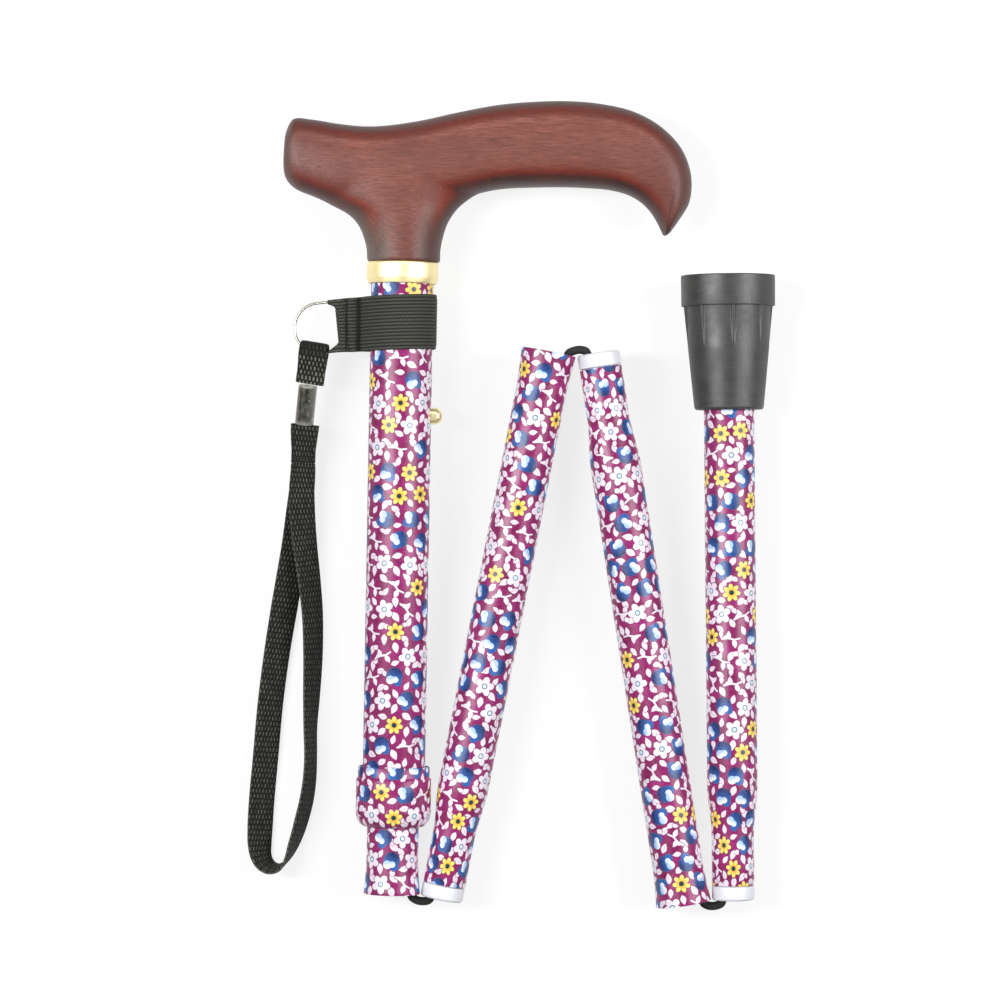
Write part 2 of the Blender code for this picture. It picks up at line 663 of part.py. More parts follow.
def make_button(parent):
    """Snap button on local X, and the leaf spring behind it."""
    radius = BUTTON_HOLE_RADIUS - BUTTON_CLEARANCE
    crown = UPPER_TUBE_RADIUS + BUTTON_PROTRUSION
    flange = radius + BUTTON_FLANGE_OVERHANG
    flange_top = math.sqrt(SECTION_BORE ** 2 - flange ** 2) - RUNNING_GAP * 1.2
    flange_bottom = flange_top - BUTTON_FLANGE_THICKNESS
    dome_from = crown - BUTTON_DOME_HEIGHT
    outline = [(0.0, flange_bottom), (flange, flange_bottom), (flange, flange_top),
               (radius, flange_top), (radius, dome_from)]
    turns = 5
    for k in range(1, turns):
        angle = math.radians(90 * k / turns)
        outline.append((radius * math.cos(angle),
                        dome_from + BUTTON_DOME_HEIGHT * math.sin(angle)))
    outline.append((0.0, crown))
    bm = turned(outline, 20)
    turn = Matrix.Rotation(math.radians(90), 4, "Y")
    shift = Matrix.Translation((0, 0, BUTTON_HEIGHT))
    bmesh.ops.transform(bm, matrix=shift @ turn, verts=bm.verts)
    piece("snap_button", bm, parent, FINISHES["brass"])

    leaf = flange_bottom - RUNNING_GAP - SPRING_THICKNESS / 2
    back = SPRING_WALL_GAP + SPRING_THICKNESS / 2 - SECTION_BORE
    top = BUTTON_HEIGHT + flange
    apex = top - SPRING_LENGTH
    bend = (top - SPRING_ARM + apex) / 2
    route = [(leaf, top), (leaf, top - SPRING_ARM), (0.55 * leaf, bend),
             (SPRING_APEX, apex), (0.5 * back, bend), (back, top - SPRING_ARM), (back, top)]
    path = smooth_path([(x, 0.0, z) for x, z in route], 3)
    across = Vector((0.0, SPRING_WIDTH / 2, 0.0))
    rings = []
    for point, along in zip(path, tangents(path)):
        out = along.cross(across).normalized() * SPRING_THICKNESS / 2
        rings.append([point + across + out, point - across + out,
                      point - across - out, point + across - out])
    piece("button_spring", lofted(rings), parent, FINISHES["steel"])


def make_end_ring(name, parent):
    """White ring at a section's narrow end, with a spigot in the neck."""
    spigot = NECK_RADIUS - NECK_WALL - RUNNING_GAP
    edge = RING_EDGE
    top = RING_HEIGHT + RING_SPIGOT_DEPTH
    outline = [(RING_BORE + edge, 0.0), (RING_RADIUS - edge, 0.0), (RING_RADIUS, edge),
               (RING_RADIUS, RING_HEIGHT), (spigot, RING_HEIGHT), (spigot, top),
               (RING_BORE, top), (RING_BORE, edge)]
    piece(name, turned(outline, 24), parent, FINISHES["white_plastic"])


def make_folding_section(number, parent):
    stations = neck() + list(reversed(bell(SECTION_RADIUS, SECTION_BORE, SECTION_BELL_FLARE,
                                           SECTION_LENGTH, -1)))
    piece(f"tube_{number}", tube(stations), parent, FINISHES["print"])
    make_end_ring(f"end_ring_{number}", parent)


def make_last_section(parent):
    stations = neck() + [(LAST_TUBE_END, SECTION_RADIUS, SECTION_BORE)]
    piece("tube_4", tube(stations), parent, FINISHES["print"])
    make_end_ring("end_ring_4", parent)

    cord_hole = CORD_RADIUS + CORD_HOLE_CLEARANCE
    plug = ring(SECTION_BORE - RUNNING_GAP, cord_hole, ANCHOR_BOTTOM,
                ANCHOR_BOTTOM + ANCHOR_HEIGHT, 24)
    piece("cord_anchor", plug, parent, FINISHES["dark_plastic"])
    knot_bottom = ANCHOR_BOTTOM + ANCHOR_HEIGHT + RUNNING_GAP
    piece("cord_knot", knot(knot_bottom), parent, FINISHES["steel"])

    washer_bottom = LAST_TUBE_END + RUNNING_GAP
    washer = ring(SECTION_RADIUS - 0.2 * MM, WASHER_BORE, washer_bottom,
                  washer_bottom + WASHER_THICKNESS, 24)
    piece("tip_washer", washer, parent, FINISHES["steel"])
    make_tip(washer_bottom + WASHER_THICKNESS + RUNNING_GAP, parent)


def make_tip(bore_floor, parent):
    """Rubber ferrule: a grooved sole, a wide base, a tapered body and short ribs."""
    bore = SECTION_RADIUS + RUNNING_GAP
    mouth = TIP_SOLE - TIP_LENGTH
    shoulder = TIP_SOLE - TIP_FLANGE_HEIGHT
    groove = TIP_SOLE - TIP_GROOVE_DEPTH
    edge = TIP_EDGE
    outline = [(0.0, TIP_SOLE)]
    for k in range(TIP_GROOVES):
        inner = (k + 1) * TIP_GROOVE_PITCH
        outer = inner + TIP_GROOVE_WIDTH
        outline += [(inner, TIP_SOLE), (inner, groove), (outer, groove), (outer, TIP_SOLE)]
    outline += [(TIP_FLANGE_RADIUS - edge, TIP_SOLE), (TIP_FLANGE_RADIUS, TIP_SOLE - edge),
                (TIP_FLANGE_RADIUS, shoulder + edge / 2), (TIP_FLANGE_RADIUS - edge / 2, shoulder),
                (TIP_SHOULDER_RADIUS, shoulder), (TIP_MOUTH_RADIUS, mouth + edge),
                (TIP_MOUTH_RADIUS - edge, mouth), (bore, mouth), (bore, bore_floor),
                (0.0, bore_floor)]
    tip = piece("rubber_tip", turned(outline, 40), parent, FINISHES["rubber"])
    slope = (TIP_SHOULDER_RADIUS - TIP_MOUTH_RADIUS) / (shoulder - mouth - edge)
    sunk = TIP_EDGE
    foot_radius = TIP_SHOULDER_RADIUS - slope * TIP_RIB_LENGTH
    for k in range(TIP_RIBS):
        top = shoulder + sunk
        half = TIP_RIB_WIDTH / 2
        outer = TIP_SHOULDER_RADIUS - edge / 2 + TIP_RIB_HEIGHT
        bm = bmesh.new()
        corners = [(TIP_SHOULDER_RADIUS - sunk, half, top), (TIP_SHOULDER_RADIUS - sunk, -half, top),
                   (outer, 0.0, top), (foot_radius - sunk, 0.0, shoulder - TIP_RIB_LENGTH)]
        verts = [bm.verts.new(corner) for corner in corners]
        for face in ((0, 1, 2), (0, 1, 3), (1, 2, 3), (0, 2, 3)):
            bm.faces.new([verts[i] for i in face])
        bmesh.ops.recalc_face_normals(bm, faces=bm.faces)
        turn = Matrix.Rotation(2 * math.pi * k / TIP_RIBS + math.radians(TIP_RIB_TURN), 3, "Z")
        bmesh.ops.rotate(bm, cent=(0, 0, 0), matrix=turn, verts=bm.verts)
        combine(tip, guide(f"tip_rib_{k + 1}", bm, parent), "UNION")


def cord_solid(name, route, steps, parent):
    """Round elastic cord through route points, as a capped tube."""
    path = smooth_path(route, steps)
    curve = bpy.data.curves.new(name, "CURVE")
    curve.dimensions = "3D"
    curve.bevel_depth = CORD_RADIUS
    curve.bevel_resolution = 2
    curve.use_fill_caps = True
    spline = curve.splines.new("POLY")
    spline.points.add(len(path) - 1)
    for point, place in zip(spline.points, path):
        point.co = (*place, 1.0)
    curve.materials.append(FINISHES["cord"])
    made = bpy.data.objects.new(name, curve)
    bpy.context.scene.collection.objects.link(made)
    made.parent = parent


def side_points(section, side, mouth, inward, pairs):
    """Points beside a fold hinge, as (towards the section's axis, into the section)."""
    return [section @ Vector((side * (FOLD_OFFSET - across), 0.0, mouth + inward * (along - FOLD_GAP)))
            for across, along in pairs]


def make_cord(places, frames, root):
    """The one elastic cord: a run in each section and a bend at each fold."""
    from_tube = [(2.7 * MM, CORD_INSIDE), (1.95 * MM, 2.0 * MM), (1.5 * MM, -0.4 * MM),
                 (0.3 * MM, -1.25 * MM)]
    into_ring = [(2.4 * MM, -1.35 * MM), (4.2 * MM, -0.6 * MM), (4.85 * MM, 1.2 * MM),
                 (4.9 * MM, CORD_INSIDE)]
    bends = [(1, "upper", 1, 0.0, 1, "section_2", -1),
             (2, "section_2", 1, SECTION_LENGTH, -1, "section_3", 1),
             (3, "section_3", -1, SECTION_LENGTH, -1, "section_4", -1)]
    for number, tube_name, side, mouth, inward, ring_name, ring_side in bends:
        route = side_points(places[tube_name], side, mouth, inward, from_tube)
        route += side_points(places[ring_name], ring_side, 0.0, 1, into_ring)
        cord_solid(f"cord_bend_{number}", route, 3, root)

    near_mouth = FOLD_OFFSET - from_tube[0][0]
    near_ring = FOLD_OFFSET - into_ring[-1][0]
    inset = CORD_INSIDE - FOLD_GAP + RUNNING_GAP
    beside_spring = SPRING_WIDTH / 2 + CORD_RADIUS + CORD_BESIDE_SPRING
    bush_top = LOWER_TUBE_LENGTH + RUNNING_GAP + BUSH_FLANGE_HEIGHT
    bush_foot = LOWER_TUBE_LENGTH - BUSH_SPIGOT_DEPTH
    above_button = bush_foot - CORD_SWAY
    below_button = BUTTON_HEIGHT - SPRING_ARM
    spring_foot = BUTTON_HEIGHT - SPRING_LENGTH
    cord_solid("cord_run_1", [(0.0, 0.0, bush_top), (0.0, 0.0, bush_foot),
                              (0.0, 0.0, bush_foot - CORD_RADIUS),
                              (-CORD_BEHIND_BUTTON, beside_spring, above_button),
                              (-CORD_BEHIND_BUTTON, beside_spring, below_button),
                              (0.0, beside_spring, spring_foot),
                              (near_mouth / 2, beside_spring / 2, spring_foot / 2 + inset),
                              (near_mouth, 0.0, inset)], 3, frames["upper"])
    for number, side in ((2, -1), (3, 1)):
        cord_solid(f"cord_run_{number}", [(side * near_ring, 0.0, inset),
                                          (-side * near_mouth, 0.0, SECTION_LENGTH - inset)],
                   4, frames[f"section_{number}"])
    anchor_top = ANCHOR_BOTTOM + ANCHOR_HEIGHT
    cord_solid("cord_run_4", [(-near_ring, 0.0, inset), (-near_ring / 2, 0.0, ANCHOR_BOTTOM / 2),
                              (0.0, 0.0, ANCHOR_BOTTOM), (0.0, 0.0, anchor_top)],
               3, frames["section_4"])


def band_outline(radius, tail_half, tail_end, pinch, count):
    """Teardrop round the tube, whose tail points to -X; (x, y) points."""
    reach = math.radians(140)
    arc = []
    for k in range(count):
        angle = reach - 2 * reach * k / (count - 1)
        arc.append((radius * math.cos(angle), radius * math.sin(angle)))
    return arc + [(-pinch, -tail_half), (-tail_end, -tail_half),
                  (-tail_end, tail_half), (-pinch, tail_half)]


def make_band(parent, ring_frame):
    """Elastic band round the tube; its tail is sewn round the D-ring's bar."""
    inner_radius = UPPER_TUBE_RADIUS + RUNNING_GAP
    outer_radius = inner_radius + BAND_THICKNESS
    eye_bore = RING_WIRE_RADIUS + RUNNING_GAP
    eye_radius = eye_bore + BAND_EYE_WALL
    inside_ring = D_RING_RADIUS - D_RING_CORNER
    tail_end = D_RING_OFFSET - eye_bore
    lean = math.tan(math.radians(D_RING_LEAN))

    def place(x, y, end):
        share = max(0.0, -x - outer_radius) / (tail_end - outer_radius)
        half = (BAND_WIDTH + (BAND_TAIL_WIDTH - BAND_WIDTH) * share) / 2
        height = half if end else -half
        return (x + lean * height * share, y, BAND_CENTRE + BAND_SLANT * x + height)

    outer = band_outline(outer_radius, BAND_TAIL_HALF, tail_end, BAND_TAIL_START, 25)
    inner = band_outline(inner_radius, SEAM_SLIT, BAND_TAIL_START, BAND_TAIL_START - BAND_THICKNESS,
                         25)
    band = piece("elastic_band", band_prism(outer, inner, place), parent, FINISHES["elastic"])
    eye = rod(eye_radius, -inside_ring, inside_ring, 16)
    combine(band, guide("band_eye", eye, ring_frame), "UNION")
    bar_way = rod(eye_bore, -D_RING_RADIUS, D_RING_RADIUS, 16)
    combine(band, guide("band_eye_bore", bar_way, ring_frame), "DIFFERENCE")


def d_ring_path():
    """Centre line of the D: the bar on local Z, two legs and a half circle."""
    path = []
    corner = D_RING_CORNER
    for sign in (-1, 1):
        turn = []
        for k in range(5):
            angle = math.radians(90 * k / 4)
            turn.append(Vector((-corner + corner * math.cos(angle), 0.0,
                                sign * (D_RING_RADIUS - corner + corner * math.sin(angle)))))
        path += turn if sign > 0 else reversed(turn)
    steps = 16
    for k in range(steps + 1):
        angle = math.pi * k / steps
        path.append(Vector((-D_RING_LEG - D_RING_RADIUS * math.sin(angle), 0.0,
                            D_RING_RADIUS * math.cos(angle))))
    return path


def make_d_ring(parent):
    path = d_ring_path()
    count = len(path)
    normal = Vector((0.0, 1.0, 0.0))
    rings = []
    for k, point in enumerate(path):
        along = (path[(k + 1) % count] - path[k - 1]).normalized()
        out = along.cross(normal)
        rings.append([point + RING_WIRE_RADIUS * (math.cos(a) * out + math.sin(a) * normal)
                      for a in (math.pi * i / 4 for i in range(8))])
    piece("d_ring", lofted(rings, closed=True), parent, FINISHES["nickel"])


def tab_outline(radius, length, tail_half, tail_from):
    """Hairpin of (y, z): a half circle above the ring's wire and two legs below it."""
    steps = 10
    outline = []
    for k in range(steps + 1):
        angle = math.pi * k / steps
        outline.append((radius * math.cos(angle), -radius * math.sin(angle)))
    return outline + [(-tail_half, tail_from), (-tail_half, length),
                      (tail_half, length), (tail_half, tail_from)]


def make_strap(tab_frame, strap_frame, seam_frame, root):
    """Tab, clear sleeve, sewn head and the wrist loop."""
    half_width = WEBBING_WIDTH / 2

    def place(y, z, end):
        return (TAB_WIDTH / 2 if end else -TAB_WIDTH / 2, y, z)

    outer = tab_outline(TAB_EYE_RADIUS + TAB_FOLD_THICKNESS, TAB_LENGTH, WEBBING_THICKNESS,
                        TAB_EYE_LENGTH + 2 * TAB_FOLD_THICKNESS)
    inner = tab_outline(TAB_EYE_RADIUS, TAB_EYE_LENGTH, SEAM_SLIT, TAB_EYE_LENGTH - TAB_EYE_CLOSE)
    piece("strap_tab", band_prism(outer, inner, place), tab_frame, FINISHES["webbing"])

    sleeve = ring(SLEEVE_RADIUS, SLEEVE_BORE, 0.0, SLEEVE_LENGTH, 24)
    piece("strap_sleeve", sleeve, strap_frame, FINISHES["smoked_plastic"])
    piece("strap_core", rod(STRAP_CORE_RADIUS, 0.0, SLEEVE_LENGTH, 12), strap_frame,
          FINISHES["webbing"])

    seam_from = SLEEVE_LENGTH + RUNNING_GAP
    seam_to = seam_from + SEAM_LENGTH
    half_seam = WEBBING_THICKNESS + RUNNING_GAP / 2
    rings = []
    for height, inset in ((seam_from, SEAM_EDGE), (seam_from + 2 * SEAM_EDGE, 0.0),
                          (seam_to - 2 * SEAM_EDGE, 0.0), (seam_to, SEAM_EDGE)):
        x, y = half_width - inset, half_seam - inset / 2
        rings.append([Vector((x, y, height)), Vector((-x, y, height)),
                      Vector((-x, -y, height)), Vector((x, -y, height))])
    piece("strap_seam", lofted(rings), seam_frame, FINISHES["webbing"])

    layer = half_seam - WEBBING_THICKNESS / 2
    start = seam_to + RUNNING_GAP
    to_world = root.matrix_world.inverted() @ seam_frame.matrix_world
    roll = math.asin(-to_world.col[0].z)
    route = []
    for depth, ahead in ((layer, 0.0), (layer, STRAP_LEAD)):
        route.append((*(to_world @ Vector((0.0, depth, start + ahead))), roll))
    route += [(x * MM, y * MM, z * MM, math.radians(r)) for x, y, z, r in STRAP_ROUTE]
    for depth, ahead in ((-layer, STRAP_LEAD), (-layer, 0.0)):
        route.append((*(to_world @ Vector((0.0, depth, start + ahead))), -math.pi - roll))
    samples = smooth_path([Vector(point) for point in route], 3)
    path = [Vector(sample[:3]) for sample in samples]
    rings = []
    for point, along, sample in zip(path, tangents(path), samples):
        level = Vector((-along.y, along.x, 0.0)).normalized()
        across = level * math.cos(sample[3]) + along.cross(level) * math.sin(sample[3])
        out = along.cross(across) * WEBBING_THICKNESS / 2
        wide = across * half_width
        rings.append([point + wide + out, point - wide + out,
                      point - wide - out, point + wide - out])
    piece("wrist_strap", lofted(rings), root, FINISHES["webbing"])


def ring_plane(upper):
    """Frame of the D-ring: local Z along its bar, -X outward and a little down."""
    lean = Matrix.Rotation(math.radians(D_RING_LEAN), 4, "Y")
    droop = Matrix.Rotation(math.radians(D_RING_DROOP), 4, "Z")
    place = Matrix.Translation((-D_RING_OFFSET, 0.0, D_RING_HEIGHT))
    return upper @ place @ lean @ droop.inverted()


def tab_plane(d_ring):
    """Frame of the strap's tab: local X along the wire it hangs on, Z away from it."""
    around = math.radians(TAB_AROUND_RING)
    to_middle = Vector((math.sin(around), 0.0, math.cos(around)))
    wire = Vector((-D_RING_LEG, 0.0, 0.0)) - D_RING_RADIUS * to_middle
    place = Matrix.Translation(wire + TAB_EYE_SETBACK * to_middle)
    turn = Matrix.Rotation(math.radians(180 + TAB_TURN), 4, "Y")
    sag = Matrix.Rotation(math.radians(-TAB_SAG), 4, "X")
    return d_ring @ place @ turn @ sag


FINISHES = {}


def make_finishes():
    FINISHES.update(
        wood=finish("stained_wood", (0.17, 0.045, 0.03), 0.35),
        brass=finish("brass", (0.83, 0.62, 0.24), 0.22, 1.0),
        print=finish("printed_tube", (0.42, 0.03, 0.17), 0.3),
        white_plastic=finish("white_plastic", (0.78, 0.78, 0.8), 0.45),
        dark_plastic=finish("dark_plastic", (0.04, 0.04, 0.045), 0.5),
        steel=finish("steel", (0.55, 0.55, 0.56), 0.35, 1.0),
        nickel=finish("nickel", (0.62, 0.6, 0.55), 0.3, 1.0),
        rubber=finish("rubber", (0.1, 0.105, 0.105), 0.6),
        elastic=finish("elastic", (0.02, 0.021, 0.02), 0.8),
        webbing=finish("webbing", (0.022, 0.022, 0.02), 0.8),
        cord=finish("elastic_cord", (0.012, 0.012, 0.012), 0.75),
        smoked_plastic=finish("smoked_plastic", (0.07, 0.06, 0.04), 0.15, 0.0, 0.6),
        guide=finish("guide", (0.5, 0.5, 0.5), 0.5),
    )


def build():
    clear_scene()
    make_finishes()
    places = lay_out()
    shift = -footprint_centre(places)
    for key, place in places.items():
        if isinstance(place, Matrix):
            place.translation += shift
        else:
            places[key] = place + shift

    root = frame("cane", Matrix.Identity(4))
    frames = {name: frame(f"{name}_frame", places[name], root)
              for name in ("upper", "section_2", "section_3", "section_4")}
    d_ring = ring_plane(places["upper"])
    tab = tab_plane(d_ring)
    turn = Matrix.Rotation(math.radians(-SLEEVE_TURN), 4, "Y")
    strap = tab @ Matrix.Translation((SLEEVE_SHIFT, 0.0, TAB_LENGTH + RUNNING_GAP)) @ turn
    frames["d_ring"] = frame("d_ring_frame", d_ring, root)
    frames["tab"] = frame("tab_frame", tab, root)
    frames["strap"] = frame("strap_frame", strap, root)
    seam_turn = Matrix.Rotation(math.radians(-SEAM_TURN), 4, "Y")
    sleeve_end = Matrix.Translation((0.0, 0.0, SLEEVE_LENGTH))
    seam = strap @ sleeve_end @ seam_turn @ sleeve_end.inverted()
    frames["seam"] = frame("seam_frame", seam, root)
    bpy.context.view_layer.update()

    make_handle(frames["upper"])
    make_upper_tube(frames["upper"])
    make_lock(frames["upper"])
    make_lower_tube(frames["upper"])
    make_button(frames["upper"])
    for number in (2, 3):
        make_folding_section(number, frames[f"section_{number}"])
    make_last_section(frames["section_4"])
    make_cord(places, frames, root)
    make_band(frames["upper"], frames["d_ring"])
    make_d_ring(frames["d_ring"])
    make_strap(frames["tab"], frames["strap"], frames["seam"], root)
    return places, frames


if __name__ == "__main__":
    build()
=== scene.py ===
"""Looks of the folding walking cane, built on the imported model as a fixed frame.

The cane lies folded on a table, seen from straight above. Sizes are in millimetres.
Each section has a frame whose own unit is the millimetre, and which puts what is made
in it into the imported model's metres.
"""
import math

import bmesh
import bpy
from mathutils import Matrix, Vector


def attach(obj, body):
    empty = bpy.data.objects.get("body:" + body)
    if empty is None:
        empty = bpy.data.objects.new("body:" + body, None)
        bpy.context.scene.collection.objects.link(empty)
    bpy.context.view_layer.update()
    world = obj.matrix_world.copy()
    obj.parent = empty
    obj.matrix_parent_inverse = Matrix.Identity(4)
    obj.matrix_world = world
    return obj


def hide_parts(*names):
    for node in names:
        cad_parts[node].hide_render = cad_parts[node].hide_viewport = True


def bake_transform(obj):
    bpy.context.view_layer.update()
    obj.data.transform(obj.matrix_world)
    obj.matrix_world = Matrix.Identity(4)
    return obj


MM = 0.001
IN_METRES = Matrix.Scale(MM, 4)

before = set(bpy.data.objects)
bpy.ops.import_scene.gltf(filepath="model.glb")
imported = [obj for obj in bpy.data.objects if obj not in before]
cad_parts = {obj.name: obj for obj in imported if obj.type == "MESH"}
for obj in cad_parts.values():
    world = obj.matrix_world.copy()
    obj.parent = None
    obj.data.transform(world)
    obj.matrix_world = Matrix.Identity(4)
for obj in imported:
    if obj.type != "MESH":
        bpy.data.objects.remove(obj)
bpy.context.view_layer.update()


def srgb(red, green, blue):
    """Screen colour, from 0 to 255, as the linear colour that a shader takes."""
    linear = []
    for value in (red, green, blue):
        share = value / 255
        linear.append(share / 12.92 if share <= 0.04045 else ((share + 0.055) / 1.055) ** 2.4)
    return (*linear, 1.0)


def moved(x, y, z):
    return Matrix.Translation((x, y, z))


def turned(degrees, axis):
    return Matrix.Rotation(math.radians(degrees), 4, axis)


# Where the sections lie, as in the part's source
AXIS_HEIGHT = 15.6


def lying(x, y, heading):
    """A section's frame: local Z along its tube, X across it and Y down."""
    turn = math.radians(heading)
    place = Matrix(((math.cos(turn), 0.0, math.sin(turn)),
                    (-math.sin(turn), 0.0, math.cos(turn)),
                    (0.0, -1.0, 0.0))).to_4x4()
    place.translation = (x, y, AXIS_HEIGHT)
    return IN_METRES @ place


UPPER = lying(-46.011, -129.612, 1.0)
SECTION_2 = lying(-29.462, -131.366, 11.1)
SECTION_3 = lying(22.862, 50.626, 171.2)
SECTION_4 = lying(67.876, -131.637, -0.5)

SECTION_LENGTH = 185.8
UPPER_RADIUS = 10.4
UPPER_BORE = 9.1
UPPER_BOTTOM = 33.0
UPPER_TOP = 210.2
LOWER_RADIUS = 8.6
LOWER_LENGTH = 172.0
TUBE_RADIUS = 8.4
TUBE_BORE = 7.35
BELL_LENGTH = 12.0
NECK_RADIUS = 7.05
NECK_BORE = 6.15
NECK_END = 22.0
TAPER_END = 38.0
FOLD_OFFSET = 8.3
FOLD_GAP = 0.6
BUTTON_HEIGHT = 159.4
BUTTON_PITCH = 25.0
BUTTON_HOLE = 3.05
BUTTON_HOLES = 5
NUT_RADIUS = 12.5
CORD_RADIUS = 1.4
LAST_TUBE_END = 200.0
TIP_SOLE = 208.1
TIP_LENGTH = 44.8

# Elastic band, D-ring and strap, with their turns in degrees
BAND_CENTRE = 190.2
BAND_WIDTH = 18.2
BAND_SLANT = 0.045
BAND_RIBS = 16
RING_OFFSET = 19.8
RING_HEIGHT = 189.0
RING_LEAN = -6.8
RING_DROOP = 7.2
RING_RADIUS = 8.3
RING_LEG = 7.8
RING_CORNER = 1.2
RING_WIRE = 0.45
TAB_AROUND_RING = 19.2
TAB_CLEARANCE = 0.6
TAB_TURN = 15.2
TAB_SAG = 10.0
TAB_LENGTH = 11.3
TAB_WIDTH = 9.4
TAB_THICKNESS = 1.1
SLEEVE_SHIFT = 0.5
SLEEVE_TURN = 1.8
SLEEVE_LENGTH = 13.6
SEAM_TURN = 4.2
SEAM_LENGTH = 13.0
STRAP_GAP = 0.3
STRAP_PINCH = 0.17
WEBBING_WIDTH = 9.6
WEBBING_THICKNESS = 1.2

TO_MIDDLE = turned(TAB_AROUND_RING, "Y") @ Vector((0.0, 0.0, 1.0))
TAB_WIRE = Vector((-RING_LEG, 0.0, 0.0)) - (RING_RADIUS - TAB_CLEARANCE) * TO_MIDDLE
D_RING = (UPPER @ moved(-RING_OFFSET, 0.0, RING_HEIGHT) @ turned(RING_LEAN, "Y")
          @ turned(-RING_DROOP, "Z"))
TAB = D_RING @ moved(*TAB_WIRE) @ turned(180.0 + TAB_TURN, "Y") @ turned(-TAB_SAG, "X")
STRAP = TAB @ moved(SLEEVE_SHIFT, 0.0, TAB_LENGTH + STRAP_GAP) @ turned(-SLEEVE_TURN, "Y")
SLEEVE_END = moved(0.0, 0.0, SLEEVE_LENGTH)
SEAM = STRAP @ SLEEVE_END @ turned(-SEAM_TURN, "Y") @ SLEEVE_END.inverted()

# The wrist strap's route after its seam, as in the part's source: x, y and z in the
# model, and the roll of its width about its own line in degrees
STRAP_ROUTE = [
    (-76.4, 6.0, 4.6, 3.0), (-77.4, -2.4, 4.7, -6.0), (-78.8, -13.4, 4.5, -15.0),
    (-80.5, -23.4, 4.1, -21.0), (-82.4, -34.4, 3.8, -25.0), (-84.6, -47.7, 3.6, -29.0),
    (-87.1, -66.7, 3.6, -31.0), (-88.8, -85.7, 3.6, -31.0), (-90.1, -100.1, 3.5, -31.0),
    (-90.6, -109.0, 3.6, -33.0), (-90.7, -114.2, 4.0, -39.0), (-90.3, -117.7, 4.4, -48.0),
    (-88.9, -120.5, 4.8, -58.0), (-86.9, -121.9, 5.1, -68.0), (-84.6, -122.0, 5.3, -80.0),
    (-82.6, -120.7, 5.4, -90.0), (-80.9, -118.1, 5.4, -99.0), (-79.7, -115.3, 5.3, -106.0),
    (-77.9, -110.4, 5.2, -112.0), (-76.3, -104.9, 5.1, -115.0), (-74.9, -99.2, 5.1, -115.0),
    (-73.9, -92.4, 5.2, -113.0), (-73.5, -84.4, 5.3, -111.0), (-73.6, -75.4, 5.3, -113.0),
    (-73.2, -64.4, 5.3, -121.0), (-72.7, -50.4, 5.4, -128.0), (-72.9, -36.4, 5.8, -133.0),
    (-74.0, -24.4, 6.2, -140.0), (-75.3, -13.4, 6.6, -149.0), (-76.2, -3.4, 7.0, -164.0),
    (-76.4, 6.0, 6.7, -183.0),
]

# Handle stations: top edge, bottom edge and half thickness, from the neck's foot
HANDLE_FOOT = 210.5
HANDLE_STATIONS = [
    (-40.0, 38.5, -40.3, 31.0, 5.0), (-39.3, 43.3, -39.6, 27.4, 8.8),
    (-37.2, 47.0, -36.8, 24.2, 10.7), (-31.0, 46.9, -31.2, 21.8, 11.8),
    (-22.0, 45.6, -22.4, 18.8, 12.7), (-13.3, 44.9, -12.8, 18.6, 13.3),
    (4.0, 46.9, 4.5, 19.7, 13.8), (17.6, 50.1, 18.1, 21.7, 14.0),
    (31.6, 52.9, 31.7, 24.9, 14.0), (43.2, 54.1, 42.7, 25.7, 13.8),
    (54.2, 54.5, 52.7, 26.0, 13.5), (65.6, 53.7, 62.1, 25.8, 13.0),
    (76.6, 51.2, 69.7, 25.1, 12.4), (85.7, 46.2, 75.8, 23.3, 11.7),
    (92.5, 39.0, 79.8, 20.7, 10.9), (95.7, 30.0, 82.5, 17.8, 10.0),
    (95.1, 21.3, 84.4, 14.8, 8.8), (91.9, 15.6, 85.8, 12.0, 7.2),
    (88.9, 11.2, 86.7, 9.8, 4.8),
]

# Neck stations: height, middle, half width and half thickness, from its foot
NECK_STATIONS = [
    (0.0, 0.3, 12.2, 12.1), (4.0, 0.2, 12.3, 12.3), (8.5, 0.0, 13.3, 12.6),
    (12.5, -0.4, 14.9, 12.9), (15.5, -1.1, 17.2, 13.1), (18.5, -2.8, 21.2, 13.25),
    (21.8, -3.8, 26.2, 13.4), (26.0, -3.0, 31.0, 13.5), (30.0, -3.0, 30.0, 13.5),
    (35.0, -3.0, 22.0, 13.2),
]


def operator(operation):
    return lambda value, *others: value.maths(operation, *others)


